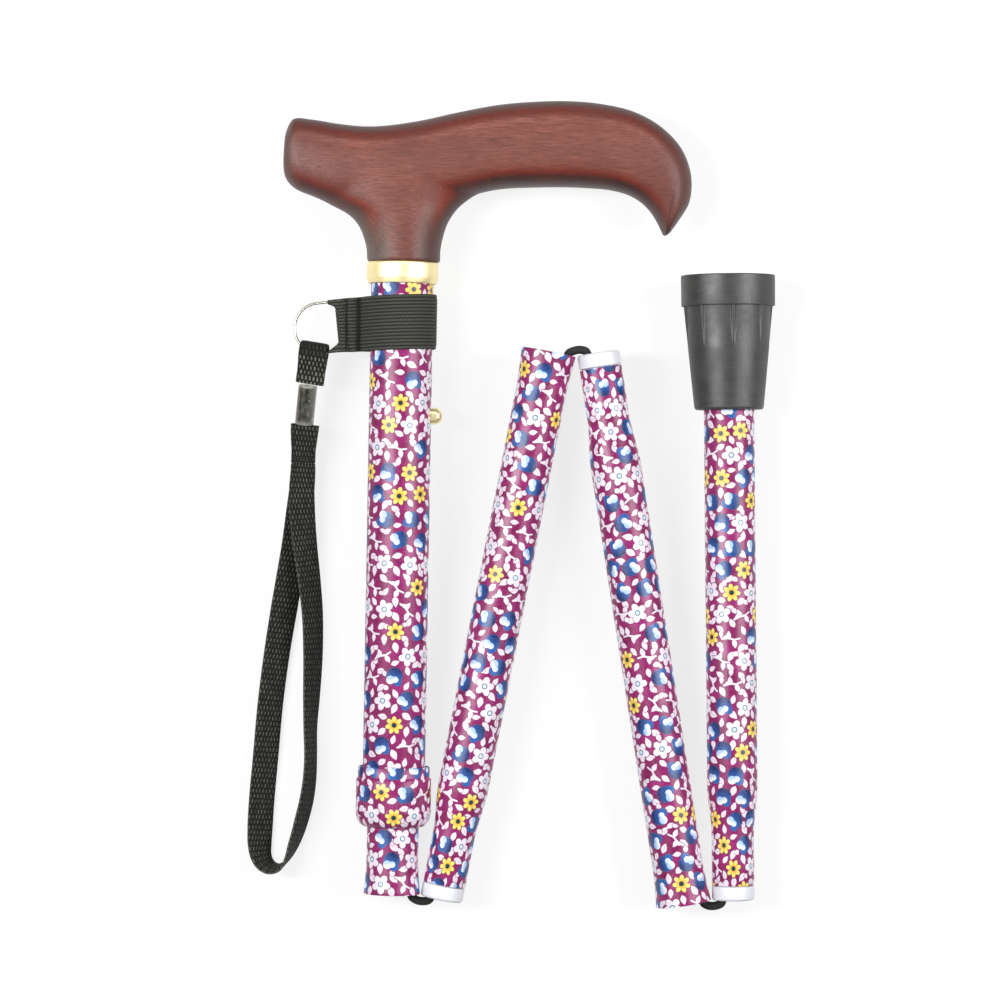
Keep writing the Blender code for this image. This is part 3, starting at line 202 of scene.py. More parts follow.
class Value:
    """An output of a shader node, which takes part in Python arithmetic.

    The greater of two values, as one | other, joins two shapes or two masks.
    """

    def __init__(self, finish, socket):
        self.finish = finish
        self.socket = socket

    def maths(self, operation, *others, clamp=False):
        return self.finish.node("Math", {"operation": operation, "use_clamp": clamp},
                                dict(enumerate((self, *others))))

    __add__ = __radd__ = operator("ADD")
    __sub__ = operator("SUBTRACT")
    __mul__ = __rmul__ = operator("MULTIPLY")
    __truediv__ = operator("DIVIDE")
    __mod__ = operator("FLOORED_MODULO")
    __lt__ = operator("LESS_THAN")
    __gt__ = operator("GREATER_THAN")
    __or__ = operator("MAXIMUM")
    __abs__ = operator("ABSOLUTE")
    __floor__ = operator("FLOOR")
    sine = operator("SINE")
    cosine = operator("COSINE")

    def __rsub__(self, other):
        return self.maths("MULTIPLY_ADD", -1.0, other)

    def __neg__(self):
        return self * -1.0

    def soft(self, edge=0.06):
        """1 inside a shape and 0 outside it, from the depth inside its edge."""
        return self.maths("MULTIPLY_ADD", 1 / edge, 0.5, clamp=True)

    def left(self):
        """What is left of 1, and no less than 0."""
        return self.maths("MULTIPLY_ADD", -1.0, 1.0, clamp=True)

    def ramp(self, start, end, low=0.0, high=1.0):
        """Goes from low to high while this goes from start to end, both within 0 to 1."""
        return self.finish.node("ValToRGB", inputs={0: self}, stops=((start, low), (end, high)))

    def mix(self, first, second):
        """The first colour where this is 0, and the second where it is 1."""
        return self.finish.node("Mix", {"data_type": "RGBA"}, {0: self, 6: first, 7: second}, 2)


class Finish:
    """A material or a world being made: its colour is painted in layers, and at the end
    its shader is fed."""

    def __init__(self, name, colour=(0, 0, 0), kind=bpy.data.materials,
                 shader="Principled BSDF", **constants):
        self.made = kind.new(name)
        self.made.use_nodes = True
        self.tree = self.made.node_tree
        self.shader = self.tree.nodes[shader]
        self.colour = srgb(*colour)
        self.feed_shader(constants)

    def feed_shader(self, values):
        for socket, value in values.items():
            self.feed(self.shader.inputs[socket.replace("_", " ")], value)

    def feed(self, socket, value):
        if isinstance(value, Value):
            self.tree.links.new(value.socket, socket)
        else:
            socket.default_value = value

    def node(self, kind, settings=None, inputs=None, output=0, stops=()):
        """Any node, as one of its outputs, or as a list of those that a tuple names."""
        made = self.tree.nodes.new("ShaderNode" + kind)
        for key, value in (settings or {}).items():
            setattr(made, key, value)
        for key, value in (inputs or {}).items():
            self.feed(made.inputs[key], value)
        if stops:
            ramp = made.color_ramp.elements
            while len(ramp) < len(stops):
                ramp.new(1.0)
            for stop, (position, grey) in zip(ramp, stops):
                stop.position = position
                stop.color = (grey, grey, grey, 1.0)
        if isinstance(output, tuple):
            return [Value(self, made.outputs[key]) for key in output]
        return Value(self, made.outputs[output])

    def split(self, vector):
        return self.node("SeparateXYZ", inputs={0: vector}, output=(0, 1, 2))

    def place(self, section, scale=(1.0, 1.0, 1.0)):
        """Where a point lies in a section's frame, in mm, times a scale."""
        where, turn, unit = section.decompose()
        spot = self.node("TexCoord", output="Object")
        inside = self.node("Mapping", {"vector_type": "TEXTURE"},
                           {"Vector": spot, "Location": where, "Rotation": turn.to_euler(),
                            "Scale": unit})
        return self.node("Mapping", inputs={"Vector": inside, "Scale": scale})

    def weave(self):
        """Where a point lies on its cloth, in mm, and the two parts of that."""
        spot = self.node("UVMap", {"uv_map": "weave"})
        return [spot, *self.split(spot)[:2]]

    def noise(self, scale, detail=3.0, roughness=0.55, distortion=0.0, at=None):
        """Noise at a place, or over the piece in metres where none is given."""
        spot = at or self.node("TexCoord", output="Object")
        return self.node("TexNoise", inputs={"Vector": spot, "Scale": scale, "Detail": detail,
                                             "Roughness": roughness, "Distortion": distortion})

    def bump(self, height, distance, strength=1.0, under=None):
        """The normal of a relief, whose height of 1 stands for a distance."""
        inputs = {"Strength": strength, "Distance": distance * MM, "Height": height}
        if under is not None:
            inputs["Normal"] = under
        return self.node("Bump", inputs=inputs, output="Normal")

    def paint(self, share, *colour):
        """Lays a colour over the one so far, as much as share says."""
        over = srgb(*colour) if len(colour) == 3 else colour[0]
        self.colour = share.mix(self.colour, over)

    def done(self, **values):
        self.feed_shader({"Base Color": self.colour, **values})
        return self.made


# Floral print: a staggered lattice of blossoms, berries and sprigs, with leaves between.
# A flower is its count of petals, then their middle, half length and half width, and
# the disc that joins them
MOTIF_ROW = 7.6
WHITE_PETALS = (5, 1.9, 1.35, 1.12, 1.25)
YELLOW_PETALS = (7, 1.85, 1.2, 0.78, 1.35)
HALO = 0.22

# A sprig's stalk, as start, end and half width, and its buds, as turn, place and length
STALK = (((-2.9, -1.3), (-1.2, -0.2), 0.36), ((-1.2, -0.2), (0.9, 0.1), 0.33),
         ((0.9, 0.1), (2.5, 1.3), 0.29))
BUDS = ((2.0, 1.2, 0.9, 1.45), (-0.9, 1.9, 0.7, 1.5), (-2.4, 1.7, -1.0, 1.2))
BUD_WIDTH = 0.55

# Shares of the cells, one on top of the other: white flowers, yellow ones and berries,
# and the rest are sprigs
WHITE_UP_TO = 0.25
YELLOW_UP_TO = 0.39
BERRY_UP_TO = 0.78
TWIN_LEAF_FROM = 0.62


def span(x, y):
    return (x * x + y * y).maths("SQRT")


def turned_by(x, y, angle):
    if isinstance(angle, Value):
        cosine, sine = angle.cosine(), angle.sine()
    else:
        cosine, sine = math.cos(angle), math.sin(angle)
    return x * cosine + y * sine, y * cosine - x * sine


def blossom(radius, angle, form):
    """How deep inside a flower of equal petals a point lies."""
    petals, middle, half_length, half_width, heart = form
    sector = 2 * math.pi / petals
    fold = angle % sector - sector / 2
    along = (radius * fold.cosine() - middle) / half_length
    across = radius * fold.sine() / half_width
    return (1.0 - span(along, across)) * half_width | (heart - radius)


def disc(x, y, centre_x, centre_y, radius):
    return radius - span(x - centre_x, y - centre_y)


def leaf(x, y, half_length, half_width):
    """How deep inside a pointed leaf along x a point lies; also the mask of its vein."""
    along = x / half_length
    taper = (1.0 - along * along) * (1.0 - along * 0.3)
    vein = (0.07 - abs(y)).soft() * (0.5 * half_length - abs(x - 0.15 * half_length)).soft()
    return taper * half_width - abs(y), vein


def stroke(x, y, start, end, half_width):
    """How deep inside a round-ended line between two points a point lies."""
    x, y = x - start[0], y - start[1]
    run_x, run_y = end[0] - start[0], end[1] - start[1]
    square = run_x * run_x + run_y * run_y
    share = x.maths("MULTIPLY_ADD", run_x / square, y * (run_y / square), clamp=True)
    return half_width - span(x - share * run_x, y - share * run_y)


def chances(column, row, seed):
    """Four random numbers of one cell."""
    node = column.finish.node
    cell = node("CombineXYZ", inputs={0: column, 1: row, 2: seed})
    one, colour = node("TexWhiteNoise", {"noise_dimensions": "3D"}, {"Vector": cell}, (0, 1))
    return [one, *node("SeparateColor", inputs={0: colour}, output=(0, 1, 2))]


def printed(name, place, radius, columns, seed):
    """Magenta film with a floral print, wrapped round a section, its seam below."""
    finish = Finish(name, Specular_IOR_Level=0.36)
    x, y, z = finish.split(finish.place(place))
    width = 2 * math.pi * radius / columns
    around = x.maths("ARCTAN2", -y) * (columns / (2 * math.pi))
    up = z / MOTIF_ROW

    row = math.floor(up)
    stagger = row % 2.0 * 0.5
    column = math.floor(around + stagger)
    kind, spin, sway, lift = chances(column % columns, row, seed)
    motif_x = (around + stagger - column - 0.5) * width - (sway - 0.5) * 1.2
    motif_y = (up - row - 0.5) * MOTIF_ROW - (lift - 0.5)
    x, y = turned_by(motif_x, motif_y, spin * (2 * math.pi))
    reach = span(x, y)
    angle = y.maths("ARCTAN2", x)

    is_white = kind < WHITE_UP_TO
    is_sprig = kind > BERRY_UP_TO
    is_yellow = 1.0 - (is_white | (kind > YELLOW_UP_TO))
    is_berry = (kind > YELLOW_UP_TO) - is_sprig

    half = math.floor(around * 2.0 + 0.5)
    strip = math.floor(up - 0.5)
    size, leaf_spin, leaf_sway, twin = chances(half % (2 * columns), strip, seed + 7.0)
    leaf_x = (around * 2.0 - half) * (width / 2) - (leaf_sway - 0.5) * 0.5
    leaf_y = (up - 0.5 - strip - 0.333 - (half + strip) % 2.0 * 0.333) * MOTIF_ROW
    across, along = turned_by(leaf_x, leaf_y, leaf_spin * (2 * math.pi))
    size = 0.85 + size * 0.3
    across, along = across / size, along / size
    has_twin = twin > TWIN_LEAF_FROM
    leaf_depth, leaf_vein = leaf(across - has_twin * 1.1, along, 1.75, 0.95)
    twin_x, twin_y = turned_by(across, along, 2.2)
    twin_depth, twin_vein = leaf(twin_x - 1.3, twin_y + 0.3, 1.3, 0.76)

    buds = []
    for turn, at_x, at_y, long in BUDS:
        bud_x, bud_y = turned_by(x, y, turn)
        buds.append(leaf(bud_x - at_x, bud_y - at_y, long, long * BUD_WIDTH))
    bud, bud_vein = buds[0]
    sprig = bud | buds[1][0] | buds[2][0]
    for start, end, half_width in STALK:
        sprig = sprig | stroke(x, y, start, end, half_width)

    yellow = blossom(reach, angle, YELLOW_PETALS)
    blue = disc(x, y, -0.75, 0.1, 2.7) | disc(x, y, 1.0, 1.5, 1.5)
    pale = disc(x, y, 1.0, -0.9, 1.4) | disc(x, y, 0.5, 0.6, 1.05)
    motif = (sprig * is_sprig + blossom(reach, angle, WHITE_PETALS) * is_white
             + yellow * is_yellow + (blue | pale) * is_berry)

    wide = finish.noise(190.0, 2.0)
    fine = finish.noise(1500.0, 2.0)
    ground = wide.ramp(0.32, 0.68).mix(srgb(116, 14, 72), srgb(148, 34, 108))
    ground = fine.ramp(0.45, 0.75, 0.0, 0.3).mix(ground, srgb(200, 84, 152))
    paper = wide.ramp(0.3, 0.7).mix(srgb(230, 216, 231), srgb(246, 238, 246))
    vein_colour = srgb(176, 124, 172)

    leaf_shape = leaf_depth.soft()
    twin_shape = twin_depth.soft() * has_twin
    finish.colour = ground
    finish.paint(leaf_shape, paper)
    finish.paint(leaf_vein * leaf_shape * 0.5, vein_colour)
    finish.paint((twin_depth + HALO).soft() * has_twin, ground)
    finish.paint(twin_shape, paper)
    finish.paint(twin_vein * twin_shape * 0.5, vein_colour)
    finish.paint((motif + HALO).soft(), 120, 24, 84)
    finish.paint(motif.soft(), paper)
    finish.paint(bud_vein * bud.soft() * is_sprig * 0.5, vein_colour)

    berry = ((x + 3.15) / 4.6).ramp(0.1, 0.8).mix(srgb(6, 20, 84), srgb(40, 90, 164))
    berry = (fine.ramp(0.3, 0.7) * 0.25).mix(berry, srgb(82, 124, 184))
    light = ((x + y * 0.5) / 2.6).ramp(0.0, 0.45)
    finish.paint(blue.soft() * is_berry, berry)
    finish.paint(pale.soft() * is_berry, light.mix(srgb(176, 202, 238), srgb(240, 247, 255)))

    finish.paint((0.95 - reach).soft() * is_white, spin.mix(srgb(20, 60, 92), srgb(104, 148, 168)))
    finish.paint((0.68 - reach).soft() * is_white, 206, 228, 244)
    petals = (reach / 3.05).ramp(0.3, 0.72).mix(srgb(232, 180, 62), srgb(252, 236, 124))
    petals = (0.1 - yellow).soft(0.16).mix(petals, srgb(204, 148, 66))
    finish.paint(motif.soft() * is_yellow, petals)
    finish.paint((0.82 - reach).soft() * is_yellow, 26, 58, 76)
    return finish.done(Roughness=finish.noise(60.0).ramp(0.3, 0.7, 0.28, 0.36),
                       Normal=finish.bump(fine, 0.02, 0.5))


def stained_wood():
    """Close-grained hardwood under a red-brown stain and a satin lacquer.

    Light and shade are painted into the colour by the way the surface faces: a painted
    highlight strip along the top, a red band of painted shading below it, painted shade
    on the flanks and underside, and painted grey reflections at the butt, the nose and
    the neck's left side, with painted shade on the neck's right side.
    """
    finish = Finish("stained_wood", Specular_IOR_Level=0.4, Coat_Weight=0.18,
                    Coat_Roughness=0.45)
    band = finish.noise(1.0, 3.0, 0.55, 0.5, finish.place(UPPER, (0.009, 0.06, 0.09)))
    grain = finish.noise(1.0, 4.0, 0.65, at=finish.place(UPPER, (0.17, 2.6, 2.6)))
    pores = finish.noise(1.0, 2.0, 0.5, at=finish.place(UPPER, (0.42, 4.2, 4.2)))
    x, _, z = finish.split(finish.place(UPPER))
    right, up, out = finish.split(finish.node("TexCoord", output="Normal"))
    level = abs(out)
    low = -up

    finish.colour = band.ramp(0.35, 0.65).mix(srgb(116, 63, 52), srgb(131, 73, 60))
    # painted highlight: a pale strip along the top of the face, where it turns upwards
    strip = level.ramp(0.88, 0.94) * level.ramp(0.94, 0.985, 0.6, 0.0)
    finish.paint(strip * up.ramp(0.05, 0.2), 156, 96, 84)
    # painted shading: a red band where the face starts to turn away, brighter orange on the underside
    red = low.ramp(0.1, 0.3).mix(srgb(108, 38, 26), srgb(156, 46, 20))
    finish.paint(level.ramp(0.8, 0.93, 1.0, 0.0), red)
    # painted shade on the flanks, where the surface turns away from facing up
    finish.paint(level.ramp(0.5, 0.76, 1.0, 0.0), 66, 44, 37)
    # painted shade: the downward-facing underside goes nearly black
    finish.paint(low.ramp(0.35, 0.75, 0.0, 0.95), 24, 13, 9)
    # painted grey reflection on the left-facing side of the butt
    near_butt = ((x + 40.0) / 12.0).ramp(0.5, 1.0, 1.0, 0.0)
    finish.paint((-right).ramp(0.3, 0.62, 0.0, 0.8) * near_butt, 118, 102, 95)

    # darker round the neck; on its sides a painted grey reflection on the left and painted shade on the
    # right
    foot = ((z - HANDLE_FOOT) / 26.0).left()
    neck_reflection_and_shade = right.ramp(0.3, 0.6).mix(srgb(106, 96, 88), srgb(70, 60, 55))
    finish.paint(foot * 0.4, 84, 50, 44)
    finish.paint(abs(right).ramp(0.26, 0.55, 0.0, 0.95) * foot, neck_reflection_and_shade)
    # painted grey reflection on the nose, right of its crease
    near_nose = ((x - 88.5) / 3.0).ramp(0.0, 1.0, 0.0, 0.6)
    finish.paint(near_nose * ((z - 222.0) / 28.0).ramp(0.3, 1.0, 1.0, 0.0), 104, 78, 70)

    finish.paint(grain.ramp(0.34, 0.54, 0.7, 0.0), 82, 34, 28)
    finish.paint(grain.ramp(0.57, 0.78, 0.0, 0.55), 162, 98, 82)
    finish.paint(pores.ramp(0.6, 0.7, 0.0, 0.6), 58, 24, 21)
    finish.paint(finish.noise(45.0).ramp(0.42, 0.64, 0.0, 0.5), 94, 44, 37)
    finish.paint((abs(x - 28.0) / 68.0).ramp(0.6, 1.0, 0.0, 0.5), 74, 34, 32)

    # painted shade: a dark line along the nose's crease, which the bump below also sinks
    shaded_crease = stroke(x, z, (90.0, 239.0), (87.5, 221.0), 0.2).soft(0.9)
    shaded_crease = shaded_crease * ((z - 222.0) / 17.0).ramp(0.35, 1.0, 1.0, 0.0)
    finish.paint(shaded_crease * 0.85, 34, 16, 14)
    lines = finish.bump(grain, 0.025, 0.5)
    open_pores = finish.bump(pores.ramp(0.6, 0.7, 1.0, 0.0), 0.025, 0.6, lines)
    return finish.done(Roughness=grain.ramp(0.35, 0.65, 0.56, 0.48),
                       Normal=finish.bump(1.0 - shaded_crease, 0.3, 0.6, open_pores))


def metal(name, colour, worn, low, high, scale):
    """Plated or polished metal with fine rubbing marks and a faint tarnish."""
    finish = Finish(name, colour, Metallic=1.0)
    rub = finish.noise(scale)
    finish.paint(finish.noise(140.0).ramp(0.4, 0.72, 0.0, 0.55), *worn)
    return finish.done(Roughness=rub.ramp(0.35, 0.68, low, high),
                       Normal=finish.bump(rub, 0.006, 0.4))


def moulded(name, colour, dull, low, high):
    """Moulded plastic with a fine spark texture and slight marks of use."""
    finish = Finish(name, colour)
    use = finish.noise(210.0, 4.0)
    finish.paint(use.ramp(0.45, 0.75, 0.0, 0.5), *dull)
    return finish.done(Roughness=use.ramp(0.35, 0.7, low, high),
                       Normal=finish.bump(finish.noise(5200.0, 2.0), 0.012, 0.4))


def tip_rubber():
    """Black rubber, clouded and gritty, with marks of wiping along it."""
    finish = Finish("rubber", (17, 20, 19), Specular_IOR_Level=0.7)
    cloud = finish.noise(120.0, 4.0)
    wiped = finish.noise(1.0, 4.0, 0.65, at=finish.place(SECTION_4, (0.06, 0.06, 0.9)))
    grit = finish.noise(3000.0, 3.0, 0.7)
    finish.paint(cloud.ramp(0.35, 0.7), 31, 34, 32)
    finish.paint(grit.ramp(0.58, 0.74, 0.0, 0.35), 84, 88, 84)
    finish.paint(wiped.ramp(0.4, 0.7, 0.0, 0.5), 54, 57, 52)
    return finish.done(Roughness=(cloud + wiped * 0.4).ramp(0.5, 0.9, 0.38, 0.56),
                       Normal=finish.bump(grit + wiped, 0.04, 0.7))


def woven(name, across_pitch, along_pitch, deep, crest, lean=0.5, fold=None):
    """Webbing on the piece's own UV map: slanted floats of yarn in rows."""
    finish = Finish(name, deep, Specular_IOR_Level=0.2, Sheen_Weight=0.03, Sheen_Roughness=0.5)
    spot, across, along = finish.weave()
    row = math.floor(along / along_pitch)
    rise = along / along_pitch - row - 0.5
    bow = (rise * (2 * math.pi)).sine() * 0.12
    place = across / across_pitch + row % 2.0 * 0.5 + rise * lean + bow
    column = math.floor(place)
    aside = abs(place - column - 0.5) * 2.0
    chance = chances(column, row, 4.0)[0]
    crown = (aside * aside * 2.2).left()
    end = ((rise * rise) * (rise * rise) * 15.0).left()
    yarn = crown * end
    fray = finish.noise(5.0, 3.0, 0.6, at=spot)
    # painted highlight on the crest of each float of yarn
    top = yarn * (0.7 + chance * 0.35) + fray * 0.4 - 0.2
    finish.paint(top.ramp(0.45, 0.85), *crest)
    finish.paint(fray.ramp(0.55, 0.75, 0.0, 0.3), *crest)
    # painted highlight along both edges of the webbing
    finish.paint((abs(across) / (WEBBING_WIDTH / 2)).ramp(0.95, 0.99, 0.0, 0.45) * end, 112, 114, 106)
    # painted shade near the fold, where the tab turns round the ring's wire
    if fold is not None:
        away = finish.split(finish.place(fold))[2]
        finish.paint((away * 0.2).ramp(0.1, 0.45, 0.8, 0.0), *deep)
    return finish.done(Roughness=0.7, Normal=finish.bump(yarn + fray * 0.2, 0.25, 0.9))


def braided(name):
    finish = Finish(name, (14, 14, 14), Specular_IOR_Level=0.3)
    _, around, along = finish.weave()
    turns = along / 1.5
    yarn = (abs(((around + turns) * math.pi).sine()) | abs(((around - turns) * math.pi).sine()))
    # painted highlight on the crests of the braid's yarns
    finish.paint(yarn.ramp(0.6, 1.0), 52, 52, 50)
    return finish.done(Roughness=0.72, Normal=finish.bump(yarn, 0.15, 0.8))


def ribbed_elastic():
    """Black elastic: the ribs are in the mesh, the stitches of the knit are here, with painted
    highlights on the crests of ribs and loops and painted shade in the seams.
    """
    finish = Finish("black_elastic", (24, 26, 22), Specular_IOR_Level=0.25, Sheen_Weight=0.05)
    spot, across, along = finish.weave()
    ribs = across / (BAND_WIDTH / BAND_RIBS)
    rib = abs((ribs * math.pi).sine())
    stagger = math.floor(ribs) % 2.0 * 0.5
    loop = abs(((along / 0.85 + stagger + rib * 0.3) * math.pi).sine())
    fuzz = finish.noise(4.0, 4.0, 0.65, at=spot)
    x = finish.split(finish.place(UPPER))[0]
    shaded_seams = 0.0
    for at, half in ((-14.3, 1.1), (-18.3, 0.5)):
        near = (abs(x - at) / half).left()
        shaded_seams = (near + fuzz).ramp(0.55, 1.0) | shaded_seams
    yarn = loop * rib
    # painted highlight on the crest of each rib
    finish.paint(rib.ramp(0.25, 0.95), 60, 62, 55)
    # painted highlight on the tops of the knit's loops
    finish.paint((yarn + fuzz * 0.5).ramp(0.75, 1.0, 0.0, 0.5), 88, 92, 83)
    # painted shade in the grooves of the two sewn seams
    finish.paint(shaded_seams * 0.8, 12, 12, 10)
    return finish.done(Roughness=0.75, Normal=finish.bump(yarn + fuzz * 0.4 - shaded_seams, 0.12, 0.8))


def smoked():
    """Smoked clear tube: mottled, with a painted pale grey side, a painted amber glow along the other,
    painted white glints and pale painted bands at both ends.
    """
    finish = Finish("smoked_plastic", (20, 21, 15), Roughness=0.16, Coat_Weight=0.5,
                    Coat_Roughness=0.06)
    cloud = finish.noise(420.0)
    x, _, z = finish.split(finish.place(STRAP))
    side = x / 6.3 + 0.5
    lip = z.ramp(0.5, 1.0, 1.0, 0.0)
    finish.paint(cloud.ramp(0.38, 0.64), 78, 78, 66)
    # painted light: pale grey along one side of the tube
    finish.paint(side.ramp(0.0, 0.24, 0.85, 0.0), 150, 150, 144)
    # painted light: an amber glow along the other side
    finish.paint(side.ramp(0.74, 0.95, 0.0, 0.85), 94, 74, 34)
    # painted highlights: small white glints
    finish.paint(finish.noise(760.0, 1.0).ramp(0.7, 0.76, 0.0, 0.9), 214, 214, 206)
    # painted highlight: a pale band at the far end of the tube
    finish.paint((z / SLEEVE_LENGTH).ramp(0.88, 0.97, 0.0, 0.7), 150, 150, 142)
    # painted light: the near lip goes nearly white, and more see-through in the Alpha below
    finish.paint(lip, 226, 224, 212)
    return finish.done(Normal=finish.bump(cloud, 0.06, 0.5),
                       Alpha=side.ramp(0.0, 0.2, 0.72, 0.94) * (1.0 - lip * 0.75))


WOOD = stained_wood()
BRASS = metal("polished_brass", (250, 236, 186), (236, 214, 144), 0.4, 0.52, 700.0)
BUTTON_BRASS = metal("button_brass", (250, 238, 190), (226, 202, 132), 0.26, 0.38, 900.0)
NICKEL = metal("nickel_wire", (172, 168, 160), (132, 126, 116), 0.18, 0.3, 1500.0)
STEEL = metal("steel", (176, 178, 180), (140, 140, 142), 0.28, 0.42, 2200.0)
PRINTS = {name: printed(f"print_{name}", place, radius, columns, seed)
          for name, place, radius, columns, seed in (
              ("upper_tube", UPPER, UPPER_RADIUS, 8, 3.0), ("lock_nut", UPPER, NUT_RADIUS, 10, 12.0),
              ("lower_tube", UPPER, LOWER_RADIUS, 7, 21.0), ("tube_2", SECTION_2, TUBE_RADIUS, 7, 31.0),
              ("tube_3", SECTION_3, TUBE_RADIUS, 7, 43.0), ("tube_4", SECTION_4, TUBE_RADIUS, 7, 57.0))}
RING_WHITE = moulded("white_plastic", (232, 234, 240), (214, 216, 224), 0.32, 0.45)
DARK_PLASTIC = moulded("dark_plastic", (44, 44, 46), (60, 60, 62), 0.42, 0.55)
RUBBER = tip_rubber()
ELASTIC = ribbed_elastic()
WEBBING = woven("black_webbing", 1.25, 1.75, (9, 10, 7), (84, 86, 78), -0.34)
TAB_WEBBING = woven("tab_webbing", 1.3, 1.85, (9, 10, 6), (118, 120, 106), -0.34, TAB)
THREAD = woven("sewing_thread", 0.3, 0.4, (20, 20, 19), (72, 74, 70))
CORD = braided("elastic_cord")
SMOKED = smoked()


def add_object(name, data):
    made = bpy.data.objects.new(name, data)
    bpy.context.scene.collection.objects.link(made)
    return made


def as_mesh(name, bm):
    """Turns a form into a mesh, and frees it."""
    mesh = bpy.data.meshes.new(name)
    bm.to_mesh(mesh)
    bm.free()
    return mesh


def add_form(bm, form):
    """Adds one form to another, and frees it."""
    mesh = as_mesh("form", form)
    bm.from_mesh(mesh)
    bpy.data.meshes.remove(mesh)


def put(bm, place):
    bmesh.ops.transform(bm, matrix=place, verts=bm.verts)


def show(name, bm, place, material, body, slot, *nodes, angle=32):
    """Puts a form into its place in the model and makes it a piece."""
    put(bm, place)
    mesh = as_mesh(name, bm)
    mesh.materials.append(material)
    mesh.shade_smooth()
    mesh.set_sharp_from_angle(angle=math.radians(angle))
    made = add_object(name, mesh)
    if body is not None:
        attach(made, body)
    if nodes:
        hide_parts(*nodes)
    return made


def show_printed(name, bm, place, body, angle=32):
    return show(f"{name}_print", bm, place, PRINTS[name], body, "printed_tube", name, angle=angle)


# Points closer than WELD are one, and a rounded corner takes up no more than this share
# of an edge
WELD = 0.0005
MOST_OF_EDGE = 0.45


def held(value):
    """A number, kept within 0 to 1."""
    return min(1.0, max(0.0, value))


def grown(value, span):
    """0 before a span of values and 1 after it."""
    start, end = span
    return held((value - start) / (end - start))


def on_circle(radius, degrees):
    angle = math.radians(degrees)
    return radius * math.cos(angle), radius * math.sin(angle)


def bulged(value, power):
    """A number from -1 to 1, raised to a power and with its own sign."""
    return math.copysign(abs(value) ** power, value)


def around(centre, radius, side, up, count):
    """A ring of points round a centre, from its side to its top."""
    ring = []
    for k in range(count):
        across, rise = on_circle(radius, 360 * k / count)
        ring.append(centre + across * side + rise * up)
    return ring


def eased(outline, size, steps=3):
    """An outline with its corners rounded over a short length, save ends on the axis."""
    count = len(outline)
    points = [Vector(point) for point in outline]
    made = []
    for k, corner in enumerate(points):
        if k in (0, count - 1) and corner.x == 0.0:
            made.append(corner)
            continue
        before, after = points[k - 1] - corner, points[(k + 1) % count] - corner
        reach = min(size, MOST_OF_EDGE * before.length, MOST_OF_EDGE * after.length)
        start = corner + before.normalized() * reach
        end = corner + after.normalized() * reach
        for step in range(steps + 1):
            t = step / steps
            made.append(start * (1 - t) ** 2 + corner * 2 * t * (1 - t) + end * t ** 2)
    return made


def spun(outline, steps=96):
    """A turned form, from an outline of (radius, height) about local Z."""
    bm = bmesh.new()
    points = [bm.verts.new((radius, 0.0, height)) for radius, height in outline]
    on_axis = outline[0][0] == 0.0 and outline[-1][0] == 0.0
    ends = points[1:] if on_axis else points[1:] + points[:1]
    edges = [bm.edges.new(pair) for pair in zip(points, ends)]
    bmesh.ops.spin(bm, geom=points + edges, cent=(0, 0, 0), axis=(0, 0, 1),
                   angle=2 * math.pi, steps=steps, use_merge=True)
    bmesh.ops.remove_doubles(bm, verts=bm.verts, dist=WELD)
    bmesh.ops.recalc_face_normals(bm, faces=bm.faces)
    return bm


def sunk(bm, depth_at):
    """Moves points of a turned form towards its axis, by what depth_at gives for them."""
    for vert in bm.verts:
        x, y, z = vert.co
        reach = math.hypot(x, y)
        depth = depth_at(reach, math.degrees(math.atan2(y, x)), z)
        if depth > 0.0:
            vert.co = (x * (1 - depth / reach), y * (1 - depth / reach), z)
    return bm


def tube(stations, ease, corner_steps=3, steps=96):
    """A tube, from stations of outer radius, bore and height."""
    outside = [(radius, height) for radius, _, height in stations]
    inside = [(bore, height) for _, bore, height in reversed(stations)]
    return spun(eased(outside + inside, ease, corner_steps), steps)


def bell(radius, bore, mouth, inward, flare, steps=8):
    """Stations of a flared mouth, from the mouth inwards."""
    stations = []
    for k in range(steps + 1):
        share = k / steps
        wider = flare * (1 - share) ** 1.5
        stations.append((radius + wider, bore + wider, mouth + inward * BELL_LENGTH * share))
    return stations


def skin(rings, marks=None, closed=False):
    """A skin over rings of equal count, laid on a grid; open ends are closed.

    marks gives the (across, along) of each point, kept as the UV map named weave.
    """
    rows, count = len(rings), len(rings[0])
    last = rows if closed else rows - 1
    bm = bmesh.new()
    bmesh.ops.create_grid(bm, x_segments=last, y_segments=count, size=0.5)
    weave = bm.loops.layers.uv.new("weave")
    where = {}
    for vert in bm.verts:
        where[vert] = (round((vert.co.x + 0.5) * last), round((vert.co.y + 0.5) * count))
    if marks:
        for face in bm.faces:
            for loop in face.loops:
                i, j = where[loop.vert]
                across, along = marks[i % rows][j % count]
                loop[weave].uv = (across, along if i < rows else marks[-1][0][1] + 0.5)
    for vert, (i, j) in where.items():
        vert.co = rings[i % rows][j % count]
    bmesh.ops.remove_doubles(bm, verts=bm.verts, dist=WELD)
    if not closed:
        bmesh.ops.holes_fill(bm, edges=bm.edges, sides=0)
    bmesh.ops.recalc_face_normals(bm, faces=bm.faces)
    return bm


